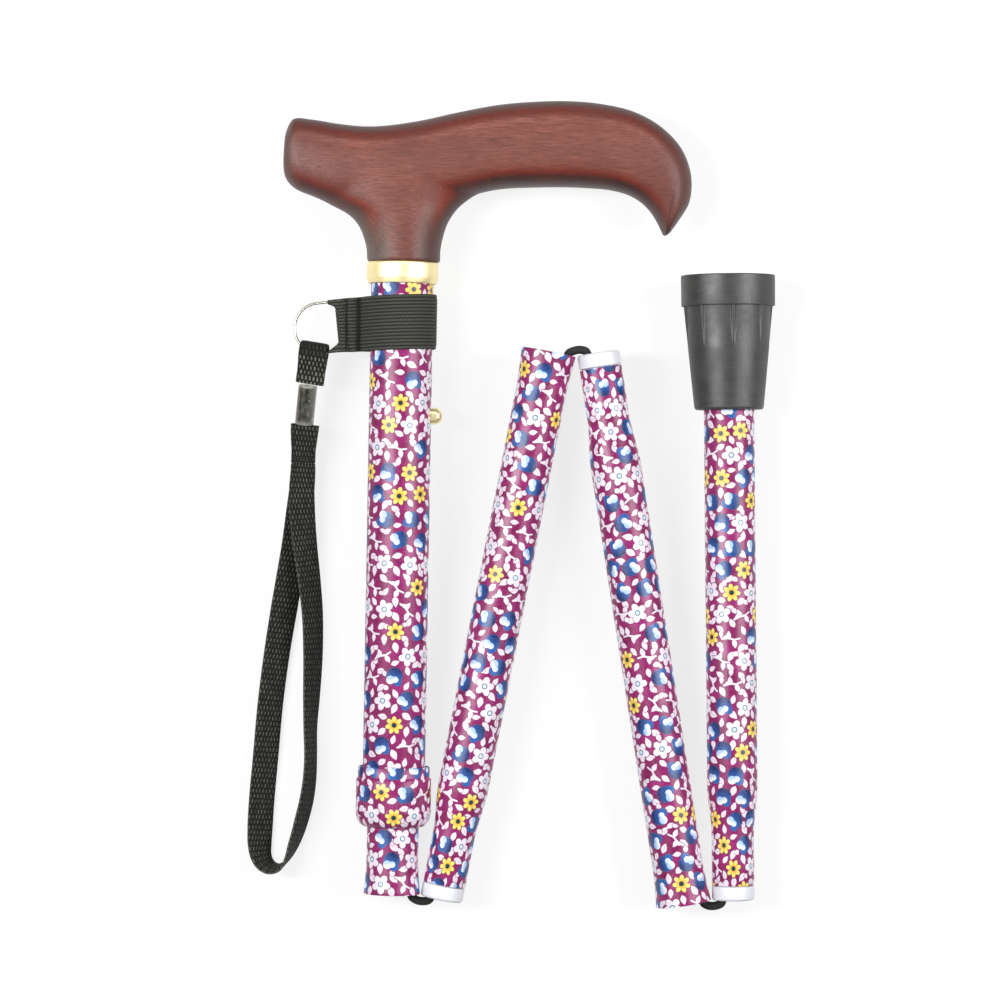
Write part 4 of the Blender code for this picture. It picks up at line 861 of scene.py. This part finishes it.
def smooth_path(points, steps):
    """Curve through points, its slopes weighted by the distances between them."""
    points = [Vector(p) for p in points]
    spans = [(Vector(b[:3]) - Vector(a[:3])).length for a, b in zip(points, points[1:])]
    rates = [(b - a) / span for a, b, span in zip(points, points[1:], spans)]
    slopes = [rates[0]]
    for k in range(1, len(rates)):
        share = spans[k - 1] / (spans[k - 1] + spans[k])
        slopes.append(rates[k - 1] * (1 - share) + rates[k] * share)
    slopes.append(rates[-1])
    path = []
    for k, span in enumerate(spans):
        for step in range(steps):
            t = step / steps
            start = points[k] * (1 + 2 * t) + slopes[k] * span * t
            end = points[k + 1] * (3 - 2 * t) - slopes[k + 1] * span * (1 - t)
            path.append(start * (1 - t) ** 2 + end * t ** 2)
    path.append(points[-1])
    return path


def directions(path):
    ahead = path[1:] + path[-1:]
    behind = path[:1] + path[:-1]
    return [(a - b).normalized() for a, b in zip(ahead, behind)]


def lengths(path):
    """Distance along a path to each of its points."""
    run = [0.0]
    for a, b in zip(path, path[1:]):
        run.append(run[-1] + (b - a).length)
    return run


def webbing_strip(path, width=WEBBING_WIDTH, thickness=WEBBING_THICKNESS,
                  across_of=lambda k: Vector((1.0, 0.0, 0.0)), taper=lambda k: 1.0, count=28):
    """A strip of webbing along a path, flat and with round edges, its width in the
    direction that across_of gives."""
    section = []
    for k in range(count):
        across, out = on_circle(1.0, 360 * (k + 0.5) / count)
        section.append((bulged(across, 0.35) * width / 2, bulged(out, 0.6) * thickness / 2))
    rings, marks = [], []
    for k, (point, along, run) in enumerate(zip(path, directions(path), lengths(path))):
        across = across_of(k)
        across = (across - across.dot(along) * along).normalized()
        out = along.cross(across)
        rings.append([point + a * taper(k) * across + b * out for a, b in section])
        marks.append([(a, run) for a, _ in section])
    return skin(rings, marks)


def round_cord(path, radius=CORD_RADIUS, sides=14, yarns=8):
    """A round cord along a path, with UVs of turns of yarn and length."""
    rings, marks = [], []
    normal = directions(path)[0].orthogonal().normalized()
    for point, along, run in zip(path, directions(path), lengths(path)):
        normal = (normal - normal.dot(along) * along).normalized()
        rings.append(around(point, radius, normal, along.cross(normal), sides))
        marks.append([(yarns * k / sides, run) for k in range(sides)])
    return skin(rings, marks)


def apply_modifiers(target):
    graph = bpy.context.evaluated_depsgraph_get()
    mesh = bpy.data.meshes.new_from_object(target.evaluated_get(graph))
    target.modifiers.clear()
    target.data = mesh


def cut(target, cutters):
    """Cuts forms out of a piece, one after the other."""
    for bm in cutters:
        cutter = add_object("cutter", as_mesh("cutter", bm))
        step = target.modifiers.new("cut", "BOOLEAN")
        step.operation = "DIFFERENCE"
        step.solver = "EXACT"
        step.object = cutter
        bpy.context.view_layer.update()
        apply_modifiers(target)
        bpy.data.objects.remove(cutter, do_unlink=True)


def button_place(height):
    """Frame of a button or its hole, with Z out of the upper tube's +X side."""
    return UPPER @ moved(0.0, 0.0, height) @ turned(90.0, "Y")


def hole(height):
    """Cutter for a button hole."""
    start, end = 3.0, 20.0
    bm = spun([(0.0, start), (BUTTON_HOLE, start), (BUTTON_HOLE, end), (0.0, end)], 40)
    put(bm, button_place(height))
    return bm


def egg(centre, up, out, squareness=2.0, count=72):
    """Closed loop round a centre, squarer than an ellipse where squareness passes 2."""
    loop = []
    for k in range(count):
        reach, rise = on_circle(1.0, 360 * k / count)
        loop.append(centre + up * bulged(rise, 2 / squareness) + out * bulged(reach, 2 / squareness))
    return loop


# Handle: its nose starts at this station, its neck is smoothed into its grip in a box of
# this half width and these heights, and its bores are (radius, height)
NOSE_STATION = 13
JUNCTION_REACH = 44.0
JUNCTION_HEIGHTS = (9.0, 36.0)
JUNCTION_PASSES = 12
OTHER_PASSES = 3
GRIP_SQUARENESS = 2.7
NOSE_SQUARENESS = 1.2
HANDLE_GRID = 0.6
HANDLE_BORES = [(0.0, -7.3), (6.3, -7.3), (6.3, 18.3), (2.2, 18.3), (2.2, 27.8), (0.0, 27.8)]


def make_handle(steps=6):
    """Handle: a grip that ends in a ridged nose, blended into a round neck."""
    uppers = smooth_path([(x, z, half) for x, z, _, _, half in HANDLE_STATIONS], steps)
    lowers = smooth_path([(x, z, 0.0) for _, _, x, z, _ in HANDLE_STATIONS], steps)
    nose_from = NOSE_STATION * steps
    rings = []
    for k, (upper, lower) in enumerate(zip(uppers, lowers)):
        top, low = Vector((upper.x, 0.0, upper.y)), Vector((lower.x, 0.0, lower.y))
        nose = max(0.0, (k - nose_from) / (len(uppers) - 1 - nose_from))
        squareness = GRIP_SQUARENESS + (NOSE_SQUARENESS - GRIP_SQUARENESS) * nose
        rings.append(egg((top + low) / 2, (top - low) / 2, Vector((0.0, upper.z, 0.0)), squareness))
    whole = skin(rings)
    rings = []
    for height, middle, half_width, half_thickness in smooth_path(NECK_STATIONS, 5):
        rings.append(egg(Vector((middle, 0.0, height)), Vector((half_width, 0.0, 0.0)),
                         Vector((0.0, half_thickness, 0.0))))
    add_form(whole, skin(rings))
    foot = UPPER @ moved(0.0, 0.0, HANDLE_FOOT)
    handle = show("handle_wood", whole, foot, WOOD, "upper", "stained_wood", "handle")
    remesh = handle.modifiers.new("even", "REMESH")
    remesh.mode = "VOXEL"
    remesh.voxel_size = HANDLE_GRID * MM
    remesh.use_smooth_shade = True
    apply_modifiers(handle)

    bm = bmesh.new()
    bm.from_mesh(handle.data)
    junction = []
    bottom, top = JUNCTION_HEIGHTS
    for vert in bm.verts:
        x, _, z = foot.inverted() @ vert.co
        if abs(x) < JUNCTION_REACH and bottom < z < top:
            junction.append(vert)
    for verts, times in ((bm.verts, OTHER_PASSES), (junction, JUNCTION_PASSES)):
        for _ in range(times):
            bmesh.ops.smooth_vert(bm, verts=verts, factor=0.5, use_axis_x=True,
                                  use_axis_y=True, use_axis_z=True)
    bm.to_mesh(handle.data)
    bm.free()
    handle.data.shade_smooth()
    bores = spun(HANDLE_BORES, 48)
    put(bores, foot)
    cut(handle, [bores])


def make_collar():
    foot, top = HANDLE_FOOT - 7.3, HANDLE_FOOT
    outline = eased([(11.4, foot), (11.75, foot + 1.4), (11.9, foot + 1.9), (11.9, top - 0.5),
                     (11.6, top), (10.7, top), (10.7, foot)], 0.35)
    show("brass_collar_ring", spun(outline, 128), UPPER, BRASS, "upper", "polished_brass",
         "brass_collar")


def make_upper_tube():
    stations = [(UPPER_RADIUS, UPPER_BORE, UPPER_BOTTOM), (UPPER_RADIUS, UPPER_BORE, UPPER_TOP)]
    made = show_printed("upper_tube", tube(stations, 0.3), UPPER, "upper")
    cut(made, [hole(BUTTON_HEIGHT - k * BUTTON_PITCH) for k in range(BUTTON_HOLES)])


def make_lower_tube():
    stations = bell(LOWER_RADIUS, TUBE_BORE, 0.0, 1, 0.8)
    stations.append((LOWER_RADIUS, TUBE_BORE, LOWER_LENGTH))
    made = show_printed("lower_tube", tube(stations, 0.25, 2), UPPER, "lower")
    cut(made, [hole(BUTTON_HEIGHT)])


def make_button():
    radius, flange, flange_foot, flange_top = 2.85, 3.6, 4.9, 5.9
    crown, dome, steps = 14.2, 2.6, 12
    outline = [(0.0, flange_foot), (flange, flange_foot), (flange, flange_top),
               (radius, flange_top)]
    for k in range(steps):
        across, up = on_circle(1.0, 90 * k / steps)
        outline.append((radius * across, crown - dome + dome * up))
    outline.append((0.0, crown))
    show("snap_button_brass", spun(outline, 56), button_place(BUTTON_HEIGHT), BUTTON_BRASS,
         "button", "polished_brass", "snap_button")


def make_nut():
    """Printed nut: a rounded foot, grip ribs round it and a stepped rim."""
    radius, bottom, top = NUT_RADIUS, 22.4, 42.5
    bore, thread, thread_from = 8.9, 11.5, 25.5
    foot_width, foot_height, foot_steps = 3.35, 5.4, 10
    ribs, rib_depth, rib_from, rib_to, rib_rows = 75, 0.22, 27.6, 34.0, 16
    outline = []
    for k in range(foot_steps + 1):
        across, up = on_circle(1.0, 90 * k / foot_steps)
        outline.append((radius - foot_width * (1 - up), bottom + foot_height * (1 - across)))
    for k in range(rib_rows + 1):
        outline.append((radius, rib_from + (rib_to - rib_from) * k / rib_rows))
    outline += [(radius, 38.3), (radius - 0.12, 38.5), (radius - 0.5, 38.75),
                (radius - 0.55, 39.1), (radius - 0.55, top - 0.35), (radius - 0.7, top - 0.08),
                (radius - 0.95, top), (thread, top), (thread, thread_from), (bore, thread_from),
                (bore, bottom)]

    def rib_at(reach, degrees, z):
        if reach <= radius - 0.01 or not rib_from < z < rib_to:
            return 0.0
        share = (z - rib_from) / (rib_to - rib_from)
        fade = min(1.0, 6 * share, 6 * (1 - share))
        return rib_depth * fade * (0.5 - 0.5 * math.cos(math.radians(ribs * degrees))) ** 2

    show_printed("lock_nut", sunk(spun(outline, ribs * 6), rib_at), UPPER, "nut", angle=50)


def make_folding_tube(number, place, end, belled):
    """A printed tube with a narrowed neck, and a flared mouth if another folds out of it."""
    stations = [(NECK_RADIUS, NECK_BORE, 5.0), (NECK_RADIUS, NECK_BORE, NECK_END)]
    for k in range(1, 9):
        share = k / 8
        ease = share * share * (3 - 2 * share)
        stations.append((NECK_RADIUS + (TUBE_RADIUS - NECK_RADIUS) * ease,
                         NECK_BORE + (TUBE_BORE - NECK_BORE) * ease,
                         NECK_END + (TAPER_END - NECK_END) * share))
    if belled:
        stations += reversed(bell(TUBE_RADIUS, TUBE_BORE, end, -1, 0.85))
    else:
        stations.append((TUBE_RADIUS, TUBE_BORE, end))
    show_printed(f"tube_{number}", tube(stations, 0.25, 2), place, f"section_{number}")


def make_end_ring(number, place):
    lip, step, foot = 7.1, 4.7, 12.2
    outline = eased([(5.7, 0.0), (6.6, 0.0), (lip, 0.5), (lip, step), (5.85, step), (5.85, foot),
                     (5.2, foot), (5.2, 0.5)], 0.3)
    show(f"end_ring_{number}_white", spun(outline, 80), place, RING_WHITE, f"section_{number}",
         "white_plastic", f"end_ring_{number}")


def make_tip():
    """Rubber ferrule: grooved sole, wide base and wedge ribs that fade down its body."""
    flange, shoulder_radius, mouth_radius, bore = 15.7, 14.9, 11.6, 8.7
    mouth, shoulder, floor = TIP_SOLE - TIP_LENGTH, TIP_SOLE - 10.3, TIP_SOLE - 6.3
    sole = [(0.0, TIP_SOLE)]
    groove_width, groove_depth = 1.2, 1.2
    for inner in (3.9, 7.8, 11.7):
        sole += [(inner, TIP_SOLE), (inner + 0.1, TIP_SOLE - groove_depth),
                 (inner + groove_width - 0.1, TIP_SOLE - groove_depth),
                 (inner + groove_width, TIP_SOLE)]
    sole += [(flange - 0.15, TIP_SOLE), (flange, TIP_SOLE - 0.3), (flange - 0.1, shoulder),
             (shoulder_radius, shoulder)]
    outline = eased(sole, 0.3)[:-4]
    rows = 40
    start, end = Vector((shoulder_radius, shoulder)), Vector((mouth_radius, mouth + 1.0))
    outline += [start.lerp(end, k / rows) for k in range(rows + 1)]
    outline += eased([(mouth_radius - 0.05, mouth + 0.7), (mouth_radius - 0.5, mouth),
                      (bore + 0.4, mouth), (bore, mouth + 0.5), (bore, floor)], 0.3)
    outline.append(Vector((0.0, floor)))
    rib_length, rib_half, flute_depth, rib_turn, first_rib = 13.8, 1.15, 0.75, 45.0, 4.0

    def flute_at(reach, degrees, z):
        away = shoulder - z
        if not (mouth_radius < reach < flange - 0.3 and -0.01 < away < rib_length):
            return 0.0
        share = away / rib_length
        past_rib = (degrees - first_rib) % rib_turn
        arc = math.radians(min(past_rib, rib_turn - past_rib)) * reach
        ridge = held(1.6 * (1 - arc / (rib_half * (1 - 0.6 * share))))
        return flute_depth * (1 - share) * (1 - ridge)

    show("rubber_tip_moulding", sunk(spun(outline, 480), flute_at), SECTION_4, RUBBER,
         "section_4", "rubber", "rubber_tip", angle=40)


# Elastic band: from where to where something grows, in x or in height, and one side of
# the tail that goes to the ring's bar, as (x, y)
TAIL_LEAN = (-11.7, -19.05)
TAIL_PINCH = (-18.6, -20.8)
BAR_FOLD = (-19.0, -21.0)
TOP_DRAW = (5.7, 7.1)
BOTTOM_DRAW = (-5.3, -7.7)
TAIL = [(-11.4, -3.9), (-12.8, -1.5), (-14.0, -0.5), (-14.8, -0.62), (-16.0, -0.82),
        (-17.2, -0.74), (-18.2, -0.5)]
BAND_REACH = 11.2
BAND_EYE = 1.3


def band_line():
    """Middle line of the elastic band: round the tube, and out round the D-ring's bar."""
    line = [on_circle(BAND_REACH, 141 - 282 * k / 60) for k in range(61)]
    line += TAIL
    for k in range(15):
        x, y = on_circle(BAND_EYE, -75 - 210 * k / 14)
        line.append((x - RING_OFFSET, y))
    line += [(x, -y) for x, y in reversed(TAIL)]
    return smooth_path([(x, y, 0.0) for x, y in line + line[:1]], 3)[:-1]


def band_half_width(x):
    """Half the band's width, which narrows a little to the D-ring and its bar."""
    return BAND_WIDTH / 2 - 0.4 * grown(x, TAIL_LEAN) - 0.5 * grown(x, TAIL_PINCH)


def band_point(x, y, height):
    """A point of the band, at a height from its middle: it slants, leans at the bar and
    draws out over the bar's two ends."""
    share, fold = grown(x, TAIL_LEAN), grown(x, BAR_FOLD)
    top, bottom = grown(height, TOP_DRAW), grown(height, BOTTOM_DRAW)
    lean = math.tan(math.radians(RING_LEAN)) * height * share
    drawn = fold * (2.5 * top * top * (3 - 2 * top) + 4.2 * bottom ** 1.8)
    droop = min(0.0, height) / (BAND_WIDTH / 2) * 0.45 * share - 0.85 * fold * bottom ** 2
    thin = 1 - 0.4 * fold * max(top, bottom)
    return Vector((x + lean - drawn, y * thin, BAND_CENTRE + BAND_SLANT * x + height + droop))


def make_band():
    """Elastic band with its ribs, and the stitching that closes it at the ring."""
    profile = []
    rows, inside_rows = BAND_RIBS * 6, 8
    for j in range(rows + 1):
        share = j / rows
        edge = min(1.0, 7 * min(share, 1 - share) + 0.35)
        swell = 0.17 * abs(math.sin(math.pi * share * BAND_RIBS)) ** 0.7
        profile.append((share, 0.42 * edge + swell, 0.0))
    for j in range(inside_rows + 1):
        at_edge = j in (0, inside_rows)
        profile.append((1 - j / inside_rows, -0.18 if at_edge else -0.45, 0.1))
    line = band_line()
    rings, marks = [], []
    for k, (point, run) in enumerate(zip(line, lengths(line))):
        along = (line[(k + 1) % len(line)] - line[k - 1]).normalized()
        half = band_half_width(point.x)
        rings.append([band_point(point.x - along.y * depth, point.y + along.x * depth,
                                 (share - 0.5) * 2 * (half - inset))
                      for share, depth, inset in profile])
        marks.append([(share * BAND_WIDTH, run) for share, _, _ in profile])
    show("elastic_band_ribbed", skin(rings, marks, closed=True), UPPER, ELASTIC, "upper",
         "black_elastic", "elastic_band", angle=60)

    for side, name in ((-1.0, "front"), (1.0, "back")):
        stitches = bmesh.new()
        half_stitch, count = 0.55, 11
        for x in (-14.2, -18.1):
            half = band_half_width(x)
            for k in range(count):
                height = (k + 0.5) / count * 2 * half - half
                add_stitch(stitches, band_point(x, side, height - half_stitch),
                           band_point(x, side, height + half_stitch), 0.16 * side)
        show(f"band_stitches_{name}", stitches, UPPER, THREAD, "upper", "black_elastic")


def add_stitch(bm, start, end, rise, radius=0.17):
    """One stitch: a short round thread that rises along Y and dips into the cloth."""
    rings, marks = [], []
    up = Vector((0.0, math.copysign(1.0, rise), 0.0))
    side = (end - start).cross(up).normalized()
    for k in range(5):
        share = k / 4
        middle = start.lerp(end, share) + up * abs(rise) * (1 - (2 * share - 1) ** 2)
        rings.append(around(middle, radius * (0.35 if k in (0, 4) else 1.0), side, up, 6))
        marks.append([(j / 6, share) for j in range(6)])
    add_form(bm, skin(rings, marks))


def make_d_ring():
    """Wire ring: a bar in the band's eye, two short legs and a half circle."""
    path = []
    for sign in (-1, 1):
        turn = []
        for k in range(9):
            across, up = on_circle(RING_CORNER, 90 * k / 8)
            turn.append(Vector((across - RING_CORNER, 0.0, sign * (RING_RADIUS - RING_CORNER + up))))
        path += turn if sign > 0 else turn[::-1]
    for k in range(49):
        up, across = on_circle(RING_RADIUS, 180 * k / 48)
        path.append(Vector((-RING_LEG - across, 0.0, up)))
    normal = Vector((0.0, 1.0, 0.0))
    rings = []
    for k, point in enumerate(path):
        along = (path[(k + 1) % len(path)] - path[k - 1]).normalized()
        rings.append(around(point, RING_WIRE, along.cross(normal), normal, 20))
    show("d_ring_wire", skin(rings, closed=True), D_RING, NICKEL, "d_ring", "nickel_wire",
         "d_ring", angle=60)


def show_webbing(name, bm, place, *nodes, material=WEBBING):
    return show(name, bm, place, material, "strap", "black_webbing", *nodes, angle=60)


def make_tab():
    """Short loop of webbing, folded over the ring's wire."""
    side = [(0.62, 11.3), (0.62, 9.0), (0.66, 7.0), (1.1, 5.0), (1.9, 2.8), (2.35, 1.2)]
    line = side + [on_circle(2.4, -turn) for turn in range(0, 181, 20)]
    line += [(-y, z) for y, z in reversed(side)]
    path = smooth_path([(0.0, y, z) for y, z in line], 4)
    bm = webbing_strip(path, TAB_WIDTH, TAB_THICKNESS)
    show_webbing("strap_tab_webbing", bm, TAB, "strap_tab", material=TAB_WEBBING)


def make_sleeve():
    radius, bore, core_from = 3.15, 2.2, 1.0
    stations = [(radius, bore, 0.05), (radius, bore, SLEEVE_LENGTH)]
    show("strap_sleeve_clear", tube(stations, 0.25, steps=48), STRAP, SMOKED, "strap",
         "smoked_plastic", "strap_sleeve")
    path = [Vector((0.0, 0.0, core_from + (SLEEVE_LENGTH - core_from) * k / 12))
            for k in range(13)]
    show_webbing("strap_core_webbing", round_cord(path, 1.85, 20), STRAP, "strap_core")


def make_seam():
    """Sewn head of the wrist strap: two layers, drawn in below, and a box of stitches."""
    start = SLEEVE_LENGTH + STRAP_GAP
    layer, face, stitch_rise = 0.72, 1.32, 0.12
    layers = bmesh.new()
    for depth in (layer, -layer):
        path = [Vector((-0.3 * (1 - k / 16) ** 2, depth * min(1.0, 0.55 + 0.15 * k),
                        start + SEAM_LENGTH * k / 16)) for k in range(17)]
        add_form(layers, webbing_strip(path, taper=lambda k: 1.0 - STRAP_PINCH * held(k / 11)))
    show_webbing("strap_seam_webbing", layers, SEAM, "strap_seam")
    ends = []
    half_stitch, pitch = 0.4, 1.1
    for z in (start + 1.6, start + SEAM_LENGTH - 1.8):
        for k in range(6):
            x = (k - 2.5) * pitch
            ends.append(((x - half_stitch, z), (x + half_stitch, z)))
    half_stitch, pitch = 0.45, 1.37
    for x in (-3.2, 3.2):
        for k in range(7):
            z = start + 2.4 + k * pitch
            ends.append(((x, z - half_stitch), (x, z + half_stitch)))
    stitches = bmesh.new()
    for side in (-1, 1):
        for (x, z), (end_x, end_z) in ends:
            add_stitch(stitches, Vector((x, side * face, z)), Vector((end_x, side * face, end_z)),
                       side * stitch_rise)
    show("seam_stitches", stitches, SEAM, THREAD, "strap", "black_webbing")


def make_wrist_strap():
    """The long loop of webbing, from the seam down, round on its edge and back up."""
    layer = 0.75
    start = SLEEVE_LENGTH + SEAM_LENGTH + 2 * STRAP_GAP
    seam = IN_METRES.inverted() @ SEAM
    roll = math.asin(-seam.col[0].z)
    route = [(*(seam @ Vector((0.0, layer, start + ahead))), roll) for ahead in (0.0, 3.0)]
    route += [(x, y, z, math.radians(degrees)) for x, y, z, degrees in STRAP_ROUTE]
    route += [(*(seam @ Vector((0.0, -layer, start + ahead))), -math.pi - roll)
              for ahead in (3.0, 0.0)]
    samples = smooth_path(route, 8)
    path = [Vector(sample[:3]) for sample in samples]
    across = []
    for along, sample in zip(directions(path), samples):
        level = Vector((-along.y, along.x, 0.0)).normalized()
        across.append(level * math.cos(sample[3]) + along.cross(level) * math.sin(sample[3]))
    last = len(path) - 1
    bm = webbing_strip(path, across_of=lambda k: across[k],
                       taper=lambda k: 1.0 - STRAP_PINCH * held(1 - min(k, last - k) / 48))
    strap = show_webbing("wrist_strap_webbing", bm, IN_METRES, "wrist_strap")
    path = [tuple(point * MM) for point in path]
    lengths([Vector(point) for point in path])[-1]


# Elastic cord: its route out of a tube and into the next ring, as (towards the section's
# axis, into the section), and its runs inside the sections
OUT_OF_TUBE = [(2.7, 6.0), (1.95, 2.0), (1.5, -0.4), (0.3, -1.25)]
INTO_RING = [(2.4, -1.35), (4.2, -0.6), (4.85, 1.2), (4.9, 6.0)]
CORD_RUNS = [
    (UPPER, "lower", [(0.0, 0.0, 175.3), (0.0, 0.0, 166.0), (0.0, 0.0, 164.6), (-2.5, 4.6, 158.0),
                      (-2.5, 4.6, 147.4), (0.0, 4.6, 128.4), (2.8, 2.3, 69.9), (5.6, 0.0, 5.7)]),
    (SECTION_2, "section_2", [(-3.4, 0.0, 5.7), (1.1, 0.0, 92.9), (5.6, 0.0, 180.1)]),
    (SECTION_3, "section_3", [(3.4, 0.0, 5.7), (-1.1, 0.0, 92.9), (-5.6, 0.0, 180.1)]),
    (SECTION_4, "section_4", [(-3.4, 0.0, 5.7), (-1.7, 0.0, 94.0), (0.0, 0.0, 188.0),
                              (0.0, 0.0, 193.5)]),
]


def beside(section, side, mouth, inward, pairs):
    """Points beside a fold, in the model."""
    return [IN_METRES.inverted() @ section @ Vector((side * (FOLD_OFFSET - across), 0.0,
                                                     mouth + inward * (along - FOLD_GAP)))
            for across, along in pairs]


def make_cords():
    """The elastic cord: what shows at each fold, and its runs inside the tubes."""
    for number, section, side, mouth, inward, ring, ring_side, body in (
            (1, UPPER, 1, 0.0, 1, SECTION_2, -1, "lower"),
            (2, SECTION_2, 1, SECTION_LENGTH, -1, SECTION_3, 1, "section_2"),
            (3, SECTION_3, -1, SECTION_LENGTH, -1, SECTION_4, -1, "section_3")):
        route = beside(section, side, mouth, inward, OUT_OF_TUBE)
        route += beside(ring, ring_side, 0.0, 1, INTO_RING)
        bend = show(f"cord_bend_{number}_braid", round_cord(smooth_path(route, 8)), IN_METRES,
                    CORD, None, "elastic_cord", f"cord_bend_{number}", angle=60)
        tuple(route[1] * MM)
        tuple(route[-2] * MM)
        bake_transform(bend)
    for number, (place, body, route) in enumerate(CORD_RUNS, 1):
        show(f"cord_run_{number}_braid", round_cord(smooth_path(route, 8), sides=12), place,
             CORD, body, "elastic_cord", f"cord_run_{number}", angle=60)


def finish_hidden_parts():
    """Finishes of the solids inside the tubes, which keep their own shapes."""
    for material, nodes in (
            (DARK_PLASTIC, ("handle_insert", "lock_sleeve", "cord_anchor")),
            (RING_WHITE, ("clamp_ring", "guide_bush")),
            (STEEL, ("handle_screw", "cord_stop", "cord_knot", "tip_washer", "button_spring"))):
        for name in nodes:
            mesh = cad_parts[name].data
            mesh.materials.clear()
            mesh.materials.append(material)


def make_camera():
    lens = bpy.data.cameras.new("overhead")
    lens.lens = 150.0
    lens.sensor_width = 36.0
    lens.clip_start = 0.05
    lens.clip_end = 10.0
    camera = add_object("overhead", lens)
    camera.location = Vector((-9.91, 1.59, 1389.0 + AXIS_HEIGHT)) * MM
    bpy.context.scene.camera = camera


def make_floor():
    """White table, 6 metres wide: bright where it is seen, and dim where it lights the cane."""
    bm = bmesh.new()
    bmesh.ops.create_grid(bm, x_segments=1, y_segments=1, size=3.0)
    floor = add_object("table", as_mesh("table", bm))
    finish = Finish("table_white", Roughness=0.9, Specular_IOR_Level=0.0, Emission_Strength=0.8)
    rays = finish.node("LightPath", output=("Is Camera Ray", "Is Glossy Ray",
                                            "Is Transmission Ray"))
    seen = rays[0] | rays[1] | rays[2]
    finish.colour = seen.mix((0.05, 0.05, 0.052, 1.0), (0.22, 0.22, 0.22, 1.0))
    glow = seen.mix(srgb(0, 0, 0), srgb(255, 255, 255))
    floor.data.materials.append(finish.done(Emission_Color=glow))


def lamp(name, size, watts, where):
    """A rectangular lamp that shines at the middle of the table; sizes in metres."""
    light = bpy.data.lights.new(name, "AREA")
    light.shape = "RECTANGLE"
    light.size, light.size_y = size
    light.energy = watts
    made = add_object(name, light)
    made.location = where
    made.rotation_mode = "QUATERNION"
    made.rotation_quaternion = (-Vector(where)).to_track_quat("-Z", "Y")


def make_light():
    """Dim room, white where the camera sees it and a soft dome where it is mirrored."""
    studio = Finish("studio", kind=bpy.data.worlds, shader="Background")
    bpy.context.scene.world = studio.made
    height = studio.split(studio.node("TexCoord", output="Generated"))[2]
    dome = studio.node("ValToRGB", inputs={0: height},
                       stops=((0.0, 0.2), (0.3, 0.4), (0.62, 0.8), (0.9, 0.7), (0.97, 0.3)))
    glossy, camera = studio.node("LightPath", output=("Is Glossy Ray", "Is Camera Ray"))
    studio.colour = (0.085, 0.087, 0.09, 1.0)
    studio.paint(glossy, dome)
    studio.paint(camera, 255, 255, 255)
    studio.feed_shader({"Color": studio.colour})
    lamp("key", (0.22, 0.75), 12.0, (-0.7, 0.12, 0.9))
    lamp("fill", (0.5, 0.75), 11.5, (0.86, 0.12, 0.8))
    lamp("head", (1.2, 0.35), 1.5, (0.0, 0.9, 0.85))
    bpy.context.scene.view_settings.view_transform = "Standard"


make_camera()
make_floor()
make_light()
make_handle()
make_collar()
make_upper_tube()
make_lower_tube()
make_button()
make_nut()
make_folding_tube(2, SECTION_2, SECTION_LENGTH, True)
make_folding_tube(3, SECTION_3, SECTION_LENGTH, True)
make_folding_tube(4, SECTION_4, LAST_TUBE_END, False)
for number, place in enumerate((SECTION_2, SECTION_3, SECTION_4), 2):
    make_end_ring(number, place)
make_tip()
make_band()
make_d_ring()
make_tab()
make_sleeve()
make_seam()
make_wrist_strap()
make_cords()
finish_hidden_parts()
